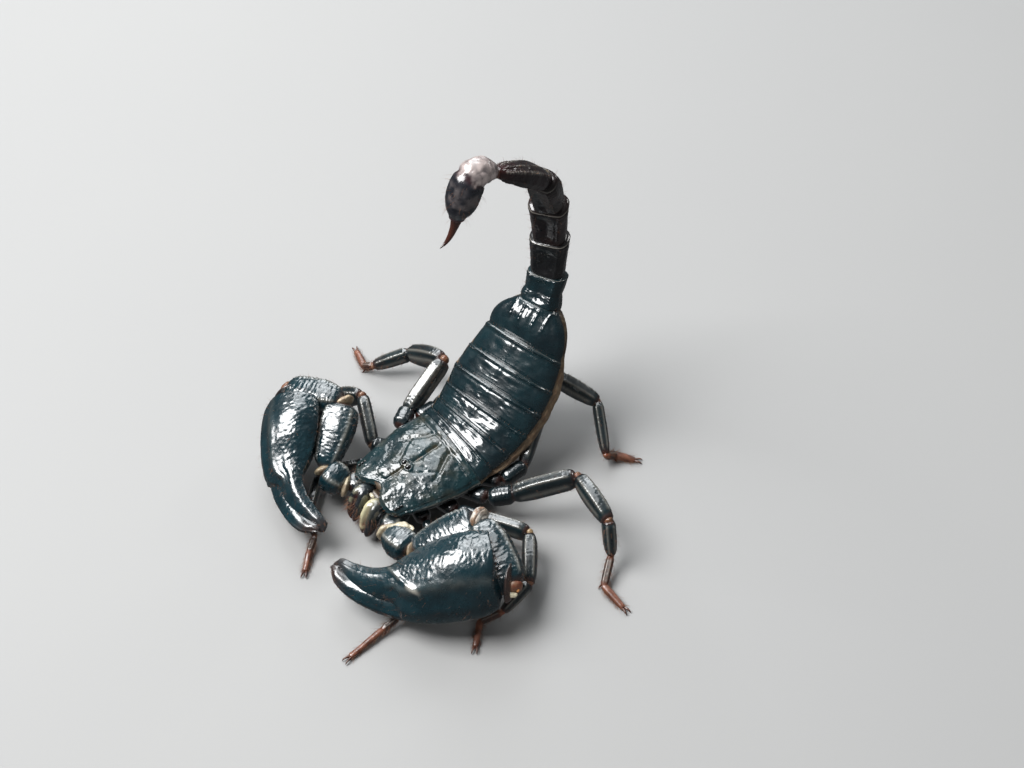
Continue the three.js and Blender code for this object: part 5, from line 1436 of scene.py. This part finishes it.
def joint_ball(c, axis, r, tint, up=Z, folds=4, middle=None):
    a = unit(axis)
    d = unit(up - a * np.dot(up, a))
    P = ellipsoid(c, (a, np.cross(a, d), d), r, 44, 56)
    rel = P - np.asarray(c)
    wave = np.sin((rel @ a) / r[0] * folds * 1.3 + 5 * fbm(P, 1.3, 12))
    P = np.asarray(c) + rel * (1 + 0.22 * (fbm(P, 1.1, 11, 2) - 0.5) + 0.03 * wave)[..., None]
    wear_and_highlight = sstep(0.46, 0.60, fbm(P, 1.0, 13))[..., None]
    tint = np.asarray(tint, float)
    if middle is not None:
        m = (gauss((rel @ a) / r[0], 0.0, 0.42) * sstep(0.3, 0.5, fbm(P, 0.9, 14)))[..., None]
        tint = tint * (1 - m) + np.asarray(middle) * m
        P = P - grid_normals(P) * (0.16 * gauss(np.sin((rel @ a) / r[0] * 6 + 3 * fbm(P, 1.0, 18)), 0, 0.25))[..., None]
    soft(P, tint * (1 - 0.6 * wear_and_highlight) + A(0.10, 0.045, 0.02) * 0.6 * wear_and_highlight)


REDBROWN = A(0.16, 0.045, 0.022)
for name, j in PALPS.items():
    build_palp(name, j)
    left = name == "left"
    u1, u2, u3 = unit(j["trochanter"] - j["coxa"]), unit(j["femur"] - j["trochanter"]), unit(j["patella"] - j["femur"])
    joint_ball(j["coxa"] + u1 * 0.15, u1 + unit(j["coxa"] - j["base"]) * 0.6, (0.75, 2.0, 1.9), CREAM * 0.75 + TAN * 0.2, folds=2)
    if left:
        P, *_ = tube_path([A(5.3, -16.5, 5.4), A(5.6, -14.9, 6.5), A(6.9, -13.5, 7.1), A(8.9, -12.8, 7.0)], [0.25, 0.6, 0.62, 0.2], Z, 70, 30, 0.6)
        soft(P + grid_normals(P) * (0.5 * (fbm(P, 0.7, 16) - 0.5))[..., None], CREAM * 0.9)
    joint_ball(j["trochanter"] + A(0, 0, 0.1), u1 + u2, (0.7, 1.7, 1.6), CREAM * 0.5 + TAN * 0.4, folds=2)
    joint_ball(j["femur"] + A(0, 0, 0.1), u2 + u3, (1.35, 2.3, 2.35) if left else (0.7, 1.8, 1.8), WHITE * 0.9 if left else CREAM * 0.7 + ORANGE * 0.25, folds=2, middle=A(0.26, 0.12, 0.06) if left else None)
    joint_ball(j["patella"] - u3 * 0.1, u3, (0.9, 1.7, 1.7), REDBROWN, folds=3)
    # the knuckle where the hand turns on the arm; the two white blobs on it are painted highlights
    hd = unit(j["tip"] - j["patella"])
    out = unit(np.cross(Z, hd))
    if left:
        for c, ax, r, tint in (
            (A(29.4, -11.7, 9.9), hd, (0.9, 0.75, 0.7), REDBROWN * 0.45),
            (A(30.4, -12.5, 9.2), hd, (1.15, 0.5, 0.45), CREAM * 1.1),
            (A(30.6, -11.3, 9.6), u3, (0.55, 0.4, 0.35), ORANGE),
            # these two white blobs stand in for glints on the condyles: painted highlights
            (A(29.4, -10.2, 10.2), u3, (0.6, 0.45, 0.4), WHITE),
            (A(28.0, -10.3, 10.9), hd, (0.35, 0.3, 0.3), WHITE * 0.8),
        ):
            side_ = unit(np.cross(ax, Z))
            P = ellipsoid(c, (ax, side_, np.cross(ax, side_)), r, 26, 30)
            soft(c + (P - c) * (1 + 0.5 * (fbm(P, 0.6, 15, 2) - 0.5))[..., None], tint)

# ------------------------------------------------------------------ walking legs
LEGS = {
    "left_1": [(7.0, -8.3, 3.0), (10.0, -9.4, 2.7), (16.0, -12.9, 2.4), (17.0, -20.0, 1.75), (16.4, -24.5, 1.6), (15.9, -27.6, 1.1), (15.3, -34.7, 0)],
    "left_2": [(10.3, -4.0, 4.4), (13.8, -3.0, 4.7), (23.5, -0.2, 6.4), (29.3, -6.8, 4.9), (28.5, -12.5, 2.0), (26.6, -15.9, 1.0), (29.1, -19.7, 0)],
    "left_3": [(12.6, 1.3, 4.9), (15.6, 4.2, 5.7), (23.2, 12.4, 9.2), (32.5, 9.2, 8.9), (34.9, 7.5, 2.9), (37.3, 2.9, 1.1), (42.3, 2.1, 0)],
    "left_4": [(12.1, 5.4, 5.2), (12.9, 10.0, 5.6), (5.8, 25.6, 10.4), (14.0, 28.4, 7.4), (20.7, 23.1, 2.8), (21.0, 25.3, 1.0), (24.2, 27.2, 0)],
    "right_1": [(-7.6, -5.0, 3.0), (-10.2, -7.2, 2.7), (-13.6, -13.6, 2.3), (-9.5, -20.0, 1.75), (-5.4, -22.5, 1.6), (-4.1, -25.1, 1.1), (-2.1, -28.1, 0)],
    "right_2": [(-7.8, -1.8, 4.2), (-10.2, -3.6, 4.8), (-17.4, 1.3, 7.9), (-23.6, -0.4, 4.0), (-26.2, -4.0, 1.9), (-27.6, -6.2, 1.0), (-29.4, -8.6, 0)],
    "right_3": [(-9.3, 2.1, 5.1), (-10.8, 5.7, 4.9), (-11.3, 16.0, 9.7), (-19.9, 15.7, 5.0), (-24.7, 10.8, 2.1), (-26.7, 10.3, 0.9), (-30.7, 12.2, 0)],
    "right_4": [(-8.6, 5.9, 4.8), (-8.1, 9.9, 4.4), (-4.0, 21.5, 8.6), (-6.0, 31.0, 5.0), (-9.0, 35.5, 2.3), (-9.6, 37.5, 1.0), (-11.5, 39.5, 0)],
}
COXA_BASE = {
    "left_1": (1.2, -6.2), "left_2": (2.0, -3.6), "left_3": (2.4, -0.6), "left_4": (3.0, 2.6),
    "right_1": (-3.2, -5.2), "right_2": (-2.6, -2.4), "right_3": (-2.0, 0.8), "right_4": (-1.6, 3.6),
}
LEG_SIZE = {"1": 0.82, "2": 0.9, "3": 1.0, "4": 1.05}
LEG_THICK = {"1": 1.0, "2": 1.25, "3": 1.32, "4": 1.1}


def above_floor(P, z=0.03):
    P = P.copy()
    P[..., 2] = np.where(P[..., 2] < z, z + 0.04 * (P[..., 2] - z), P[..., 2])
    return P


def build_leg(name, joints, order):
    foot_k = LEG_SIZE[name[-1]]
    k = foot_k * LEG_THICK[name[-1]]
    t0, t1, knee, pat, tib, bas, foot = (A(*p) for p in joints)
    v0 = 0.02 + 0.12 * order
    strip = lambda i: (0.02 + 0.16 * i, v0, 0.16 + 0.16 * i, v0 + 0.1)

    # trochanter and femur
    out = Build()
    P, at_ = limb(t0, t1, [(0, 0.6 * k, 0.6 * k), (0.25, 1.15 * k, 1.2 * k), (0.8, 1.15 * k, 1.25 * k), (1, 0.8 * k, 0.85 * k)],
                  nu=50, nv=48, g1=-0.35, grain=(0.06, 0.4), seed=400 + order, ends=(0.8, 0.7))
    out.tube(P, at_)
    P, at_ = limb(t1, knee, [(0, 0.7 * k, 0.75 * k), (0.12, 1.0 * k, 1.3 * k), (0.4, 1.05 * k, 1.65 * k), (0.8, 1.05 * k, 1.6 * k), (0.94, 0.95 * k, 1.3 * k), (1, 0.6 * k, 0.75 * k)],
                  nu=96, nv=60, g0=-0.3, k=0.72,
                  keels=[(68, 0.15 * k, 9, 0.5, 0.06, 0.93), (112, 0.15 * k, 9, 0.5, 0.06, 0.93), (250, 0.14 * k, 8, 0.45, 0.06, 0.93), (290, 0.14 * k, 8, 0.45, 0.06, 0.93), (0, 0.07, 8, 0, 0.1, 0.9), (180, 0.07, 8, 0, 0.1, 0.9)],
                  grain=(0.06, 0.36), grain_share=0.6, seed=410 + order, ends=(0.85, 0.9))
    out.tube(P, at_)
    hair_legs.on_grid(P, 60, (0.35, 0.9), 0.018, strip(0), seed=420 + order, up=0.8)
    out.make("leg_%s_upper" % name, M_LEG, "leg_gloss", "leg_%s_femur" % name)

    # patella and tibia
    out = Build()
    P, at_ = limb(knee, pat, [(0, 0.6 * k, 0.75 * k), (0.1, 0.95 * k, 1.25 * k), (0.45, 1.1 * k, 1.6 * k), (0.85, 0.95 * k, 1.3 * k), (1, 0.75 * k, 0.85 * k)],
                  nu=90, nv=60, g1=-0.2, k=0.72,
                  keels=[(62, 0.17 * k, 9, 0.5, 0.06, 0.93), (118, 0.17 * k, 9, 0.5, 0.06, 0.93), (8, 0.14 * k, 9, 0.5, 0.1, 0.9), (172, 0.14 * k, 9, 0.5, 0.1, 0.9), (250, 0.12 * k, 8, 0.45, 0.06, 0.93), (290, 0.12 * k, 8, 0.45, 0.06, 0.93)],
                  grain=(0.05, 0.36), grain_share=0.5, seed=430 + order, ends=(0.9, 0.9))
    out.tube(P, at_)
    hair_legs.on_grid(P, 60, (0.35, 0.9), 0.018, strip(1), seed=440 + order, up=0.8)
    P, at_ = limb(pat, tib, [(0, 0.6 * k, 0.72 * k), (0.15, 0.85 * k, 1.1 * k), (0.5, 0.85 * k, 1.05 * k), (0.85, 0.72 * k, 0.85 * k), (1, 0.5 * k, 0.55 * k)],
                  nu=80, nv=52, g0=-0.1, k=0.75,
                  keels=[(65, 0.12 * k, 9, 0.5, 0.06, 0.93), (115, 0.12 * k, 9, 0.5, 0.06, 0.93), (180, 0.08 * k, 9, 0.5, 0.1, 0.9), (0, 0.08 * k, 9, 0.5, 0.1, 0.9)],
                  grain=(0.05, 0.34), grain_share=0.5, seed=450 + order, ends=(1.0, 1.0))
    T = np.linspace(0, 1, P.shape[0])[:, None]
    under = np.clip(-grid_normals(P)[..., 2], 0, 1)
    at_["joint"] = np.clip(at_["joint"] + 0.35 * under + 0.25 * sstep(0.5, 1.0, T), 0, 1)
    out.tube(P, at_)
    hair_legs.on_grid(P, 90, (0.4, 1.0), 0.02, strip(2), seed=460 + order, up=0.7)
    out.make("leg_%s_middle" % name, M_LEG, "leg_gloss", "leg_%s_tibia" % name)

    # basitarsus, tarsus, two claws and spurs
    thick, k = k, foot_k
    end = A(foot[0], foot[1], 0.42)
    out = Build()
    P, at_ = limb(tib, bas, [(0, 0.5 * k, 0.5 * k), (0.2, 0.68 * k, 0.72 * k), (0.8, 0.66 * k, 0.7 * k), (1, 0.5 * k, 0.5 * k)],
                  nu=60, nv=44, g1=-0.2, keels=[(70, 0.06, 10, 0.4, 0.1, 0.9), (110, 0.06, 10, 0.4, 0.1, 0.9)], grain=(0.04, 0.3), seed=470 + order, ends=(1.0, 0.9))
    P = above_floor(P)
    T = np.linspace(0, 1, P.shape[0])[:, None]
    at_["joint"] = (sstep(0.1, 0.28, T) * (1 - sstep(0.72, 0.92, T)) * (0.75 + 0.25 * fbm(P, 0.8, 16)))
    out.tube(P, at_)
    hair_legs.on_grid(P, 110, (0.45, 1.15), 0.024, strip(3), seed=480 + order, up=0.6)
    a, d, l = limb_axes(tib, bas)
    for s in (1, -1):
        spur, *_ = tube_path([bas - a * 0.25 + l * s * 0.3 * k - d * 0.3 * k, bas + l * s * 0.7 * k - d * 0.65 * k, bas + a * 0.55 + l * s * 0.85 * k - d * 0.75 * k], [0.2, 0.14, 0.02], d, 16, 14)
        out.tube(above_floor(spur), {"joint": 0.3})
    P, at_ = limb(bas, end, [(0, 0.52 * k, 0.52 * k), (0.2, 0.64 * k, 0.64 * k), (0.7, 0.55 * k, 0.55 * k), (0.93, 0.5, 0.46), (1, 0.4, 0.36)],
                  nu=60, nv=44, g0=-0.2, g1=0.0, grain=(0.03, 0.3), seed=490 + order, ends=(0.1, 0.25))
    P = above_floor(P)
    out.tube(P, at_)
    hair_legs.on_grid(P, 130, (0.4, 1.1), 0.026, strip(4), seed=500 + order, up=0.6, where=np.clip(1.2 - grid_normals(P)[..., 2], 0, 2))
    a, d, l = limb_axes(bas, end)
    flat = unit(A(a[0], a[1], 0))
    for s in (1, -1):
        p = [end - a * 0.15 + l * s * 0.18, end + flat * 0.55 + l * s * 0.34 + Z * 0.16, end + flat * 1.0 + l * s * 0.42 + Z * 0.02, end + flat * 1.2 + l * s * 0.44 - Z * 0.3]
        claw, *_ = tube_path(p, [0.24, 0.17, 0.11, 0.02], Z, 26, 16)
        out.tube(above_floor(claw), {"joint": 0.45})
    out.make("leg_%s_foot" % name, M_TARSUS, "tarsus_brown", "leg_%s_tarsus" % name)

    # soft rings in the joints
    k = thick
    joint_ball(t1, knee - t0, (0.6 * k, 0.8 * k, 0.9 * k), REDBROWN * 0.6)
    joint_ball(knee, unit(knee - t1) + unit(pat - knee) + A(0, 0, 0.001), (0.6 * k, 0.66 * k, 0.8 * k), TAN * 0.9 if name == "left_2" else REDBROWN)
    joint_ball(pat, unit(pat - knee) + unit(tib - pat) + A(0, 0, 0.001), (0.6 * k, 0.6 * k, 0.7 * k), REDBROWN * 1.2)
    joint_ball(tib, unit(tib - pat) + unit(bas - tib) + A(0, 0, 0.001), (0.5 * k, 0.45 * k, 0.48 * k), REDBROWN * 1.3)


for order, (name, joints) in enumerate(LEGS.items()):
    build_leg(name, joints, order)

# ------------------------------------------------------------------ underside of the front body
def build_coxae():
    out = Build()
    P, at_ = limb(A(-1.2, -5.6, 2.75), A(1.9, 6.4, 2.45), [(0, 0.7, 0.3), (0.25, 1.2, 0.55), (0.75, 1.9, 0.65), (1, 1.5, 0.35)],
                  nu=60, nv=60, k=0.85, grain=(0.03, 0.4), seed=520, ends=(0.4, 0.4))
    out.tube(P, at_)
    for i, (name, (x, y)) in enumerate(COXA_BASE.items()):
        end = A(*LEGS[name][0])
        frm = A(x, y, 3.2)
        P, at_ = limb(frm, end, [(0, 1.0, 0.9), (0.2, 1.25, 1.15), (0.55, 1.42, 1.3), (0.88, 1.35, 1.22), (1, 0.9, 0.9)],
                      nu=90, nv=60, g0=0.1, k=0.78, keels=[(255, 0.12, 9, 0.5, 0.1, 0.92), (300, 0.10, 9, 0.5, 0.1, 0.92)], grain=(0.05, 0.4), grain_share=0.5, seed=530 + i, ends=(0.35, 0.8))
        out.tube(P, at_)
        hair_body.on_grid(P, 16, (0.3, 0.7), 0.018, (0.5, 0.3 + 0.03 * i, 0.9, 0.32 + 0.03 * i), seed=540 + i, up=0.9, where=np.clip(-grid_normals(P)[..., 2], 0, 1))
    for name in ("left", "right"):
        P, at_ = limb(PALPS[name]["base"], PALPS[name]["coxa"], [(0, 1.6, 1.0), (0.45, 2.0, 1.15), (0.85, 1.9, 1.4), (1, 1.2, 1.0)],
                      nu=96, nv=72, g0=0, keels=[(60, 0.12, 9, 0.5, 0.1, 0.92), (120, 0.12, 9, 0.5, 0.1, 0.92)], grain=(0.09, 0.5), seed=550, ends=(0.3, 0.8))
        out.tube(P, at_)
        hair_arms.on_grid(P, 50, (0.4, 1.0), 0.02, (0.02, 0.3 if name == "left" else 0.8, 0.4, 0.4 if name == "left" else 0.9), seed=560, up=0.8)
    # plate that carries the combs, and the two small plates before it
    P, at_ = limb(A(1.9, 6.6, 2.7), A(2.45, 9.6, 3.0), [(0, 1.5, 0.4), (0.5, 2.1, 0.55), (1, 1.9, 0.45)], nu=40, nv=56, k=0.7, seed=570, ends=(0.4, 0.4))
    out.tube(P, at_)
    for s in (1, -1):
        P, at_ = limb(A(2.05 + s * 0.75, 5.5, 2.35), A(2.15 + s * 0.8, 7.3, 2.5), [(0, 0.5, 0.3), (0.5, 0.85, 0.4), (1, 0.6, 0.3)], nu=36, nv=44, seed=571, ends=(0.4, 0.4))
        out.tube(P, at_)
    out.make("leg_bases", M_LEG, "leg_gloss", "coxosternum")


build_coxae()

# combs behind the last leg bases
for name, side in (("left", 1), ("right", -1)):
    out = Build()
    turn = math.radians(28 * side)
    c, s = math.cos(turn), math.sin(turn)
    root = A(2.6 + side, 10.6, 3.45)

    def at(u, v, z=0.0):
        xx, yy = side * u, -v
        return root + A(c * xx - s * yy, s * xx + c * yy, z)

    for row, (v0, r0) in enumerate(((0.45, 0.32), (0.1, 0.24))):
        P, q, *_ = tube_path([at(0.0, v0 - 0.1), at(2.0, v0 + 0.1), at(4.5, v0 + 0.05), at(7.2, v0 - 0.15)], [r0 * 0.8, r0, r0 * 0.9, r0 * 0.4], Z, 90, 26, 0.75)
        P = P + grid_normals(P) * (0.05 * np.sin(q * 60))[:, None, None]
        out.tube(P, {"joint": 0.2, "grain": 0.3})
    for i in range(11):
        x0 = 0.3 + i * 0.66
        dep = 1.5 - 0.06 * i
        P, q, *_ = tube_path([at(x0, 0.05), at(x0 + 0.05, -0.5 * dep), at(x0 + 0.12, -dep)], [0.2, 0.27, 0.15], Z, 22, 18, 0.7)
        out.tube(P, {"grain": 0.2})
    out.make("comb_" + name, M_COMB, "membrane_tan", "pecten_" + name)

skin.make("joint_skin", M_SKIN, "membrane_tan", tint=True)
hair_body.make("bristles_body", M_HAIR)
hair_arms.make("bristles_claws", M_HAIR)
hair_legs.make("bristles_legs", M_HAIR)

# ------------------------------------------------------------------ floor, camera and light
def floor_material():
    m = bpy.data.materials.new("floor")
    m.use_nodes = True
    t = m.node_tree
    p = t.nodes["Principled BSDF"]
    n = node(t, "ShaderNodeTexNoise", Scale=6.0, Detail=3.0)
    t.links.new(t.nodes.new("ShaderNodeTexCoord").outputs["Object"], n.inputs["Vector"])
    t.links.new(mix(t, n.outputs[0], (0.36, 0.36, 0.36), (0.39, 0.39, 0.385)), p.inputs["Base Color"])
    p.inputs["Roughness"].default_value = 0.75
    p.inputs["Specular IOR Level"].default_value = 0.2
    # beyond the lamps' reach the floor carries a little light of its own, so it stays pale to the horizon
    far = node(t, "ShaderNodeVectorMath")
    far.operation = "LENGTH"
    t.links.new([k for k in t.nodes if k.bl_idname == "ShaderNodeTexCoord"][0].outputs["Object"], far.inputs[0])
    glow = remap(t, far.outputs["Value"], 0.18, 1.1, 0.0, 0.52)
    p.inputs["Emission Color"].default_value = (0.97, 0.99, 1.0, 1)
    t.links.new(glow, p.inputs["Emission Strength"])
    return m


me = bpy.data.meshes.new("floor")
edge = 6.0
me.from_pydata([(-edge, -edge, 0), (edge, -edge, 0), (edge, edge, 0), (-edge, edge, 0)], [], [(0, 1, 2, 3)])
me.materials.append(floor_material())
floor = bpy.data.objects.new("floor", me)
bpy.context.scene.collection.objects.link(floor)
floor.visible_glossy = False

# a pale dome far behind, seen only directly: it neither lights the animal nor shows in its gloss
pale_wall = bpy.data.materials.new("backdrop")
pale_wall.use_nodes = True
t = pale_wall.node_tree
p = t.nodes["Principled BSDF"]
p.inputs["Base Color"].default_value = (0.0, 0.0, 0.0, 1)
p.inputs["Specular IOR Level"].default_value = 0.0
p.inputs["Emission Color"].default_value = (0.97, 0.99, 1.0, 1)
n = node(t, "ShaderNodeTexNoise", Scale=0.2, Detail=1.0)
t.links.new(t.nodes.new("ShaderNodeTexCoord").outputs["Object"], n.inputs["Vector"])
t.links.new(remap(t, n.outputs[0], 0.0, 1.0, 0.50, 0.56), p.inputs["Emission Strength"])
rings, sectors, reach = 24, 64, 5.5
verts = [
    (reach * math.cos(e) * math.cos(a), reach * math.cos(e) * math.sin(a), reach * math.sin(e) - 0.05)
    for e in np.linspace(0, math.radians(88), rings)
    for a in np.linspace(0, 2 * math.pi, sectors, endpoint=False)
]
faces = [
    (i * sectors + j, i * sectors + (j + 1) % sectors, (i + 1) * sectors + (j + 1) % sectors, (i + 1) * sectors + j)
    for i in range(rings - 1)
    for j in range(sectors)
]
faces.append(tuple((rings - 1) * sectors + j for j in range(sectors)))
me = bpy.data.meshes.new("backdrop")
me.from_pydata(verts, [], faces)
me.materials.append(pale_wall)
backdrop = bpy.data.objects.new("backdrop", me)
bpy.context.scene.collection.objects.link(backdrop)
backdrop.visible_diffuse = False
backdrop.visible_glossy = False
backdrop.visible_transmission = False
backdrop.visible_volume_scatter = False
backdrop.visible_shadow = False

AZ, EL = math.radians(42), math.radians(50)
back = A(math.sin(AZ) * math.cos(EL), -math.cos(AZ) * math.cos(EL), math.sin(EL))
right = A(math.cos(AZ), math.sin(AZ), 0)
up = np.cross(back, right)
camera = bpy.data.cameras.new("camera")
camera.sensor_width = 36.0
camera.lens = 18.0 / math.tan(math.radians(17))
camera.clip_start = 0.01
camera.clip_end = 20.0
cam = bpy.data.objects.new("camera", camera)
place = (A(128.42, -121.14, 235.88) + SHIFT) * MM
cam.matrix_world = Matrix(
    [
        [right[0], up[0], back[0], place[0]],
        [right[1], up[1], back[1], place[1]],
        [right[2], up[2], back[2], place[2]],
        [0, 0, 0, 1],
    ]
)
bpy.context.scene.collection.objects.link(cam)
bpy.context.scene.camera = cam


def lamp(name, direction, distance, size, power, colour=(1, 1, 1), aim=(0.0, 0.0, 0.015), size_y=None, mirrored=True):
    light = bpy.data.lights.new(name, "AREA")
    light.shape = "RECTANGLE"
    light.size = size
    light.size_y = size_y or size
    light.energy = power
    light.color = colour
    ob = bpy.data.objects.new(name, light)
    d = Vector(unit(A(*direction)))
    ob.location = Vector(aim) + d * distance
    ob.rotation_euler = d.to_track_quat("Z", "Y").to_euler()
    ob.visible_glossy = mirrored
    bpy.context.scene.collection.objects.link(ob)


lamp("key", (-0.43, -0.30, 0.85), 0.6, 0.36, 6.0, size_y=0.40)
lamp("sky", (-0.42, 0.36, 0.84), 0.6, 0.30, 1.1, (0.95, 0.98, 1.0), size_y=0.40)
lamp("low", (-0.60, 0.55, 0.58), 0.6, 0.32, 1.2, (0.95, 0.98, 1.0), size_y=0.30)
lamp("fill", (0.9, -0.6, 0.55), 0.8, 0.4, 0.8, (0.95, 0.98, 1.0), mirrored=False)
lamp("rim", (0.1, 1.0, 0.55), 0.8, 0.16, 0.6, (1.0, 0.99, 0.97))

world = bpy.data.worlds.new("studio")
world.use_nodes = True
bg = world.node_tree.nodes["Background"]
bg.inputs[0].default_value = (0.80, 0.82, 0.84, 1)
bg.inputs[1].default_value = 0.085
bpy.context.scene.world = world
bpy.context.scene.view_settings.view_transform = "Standard"
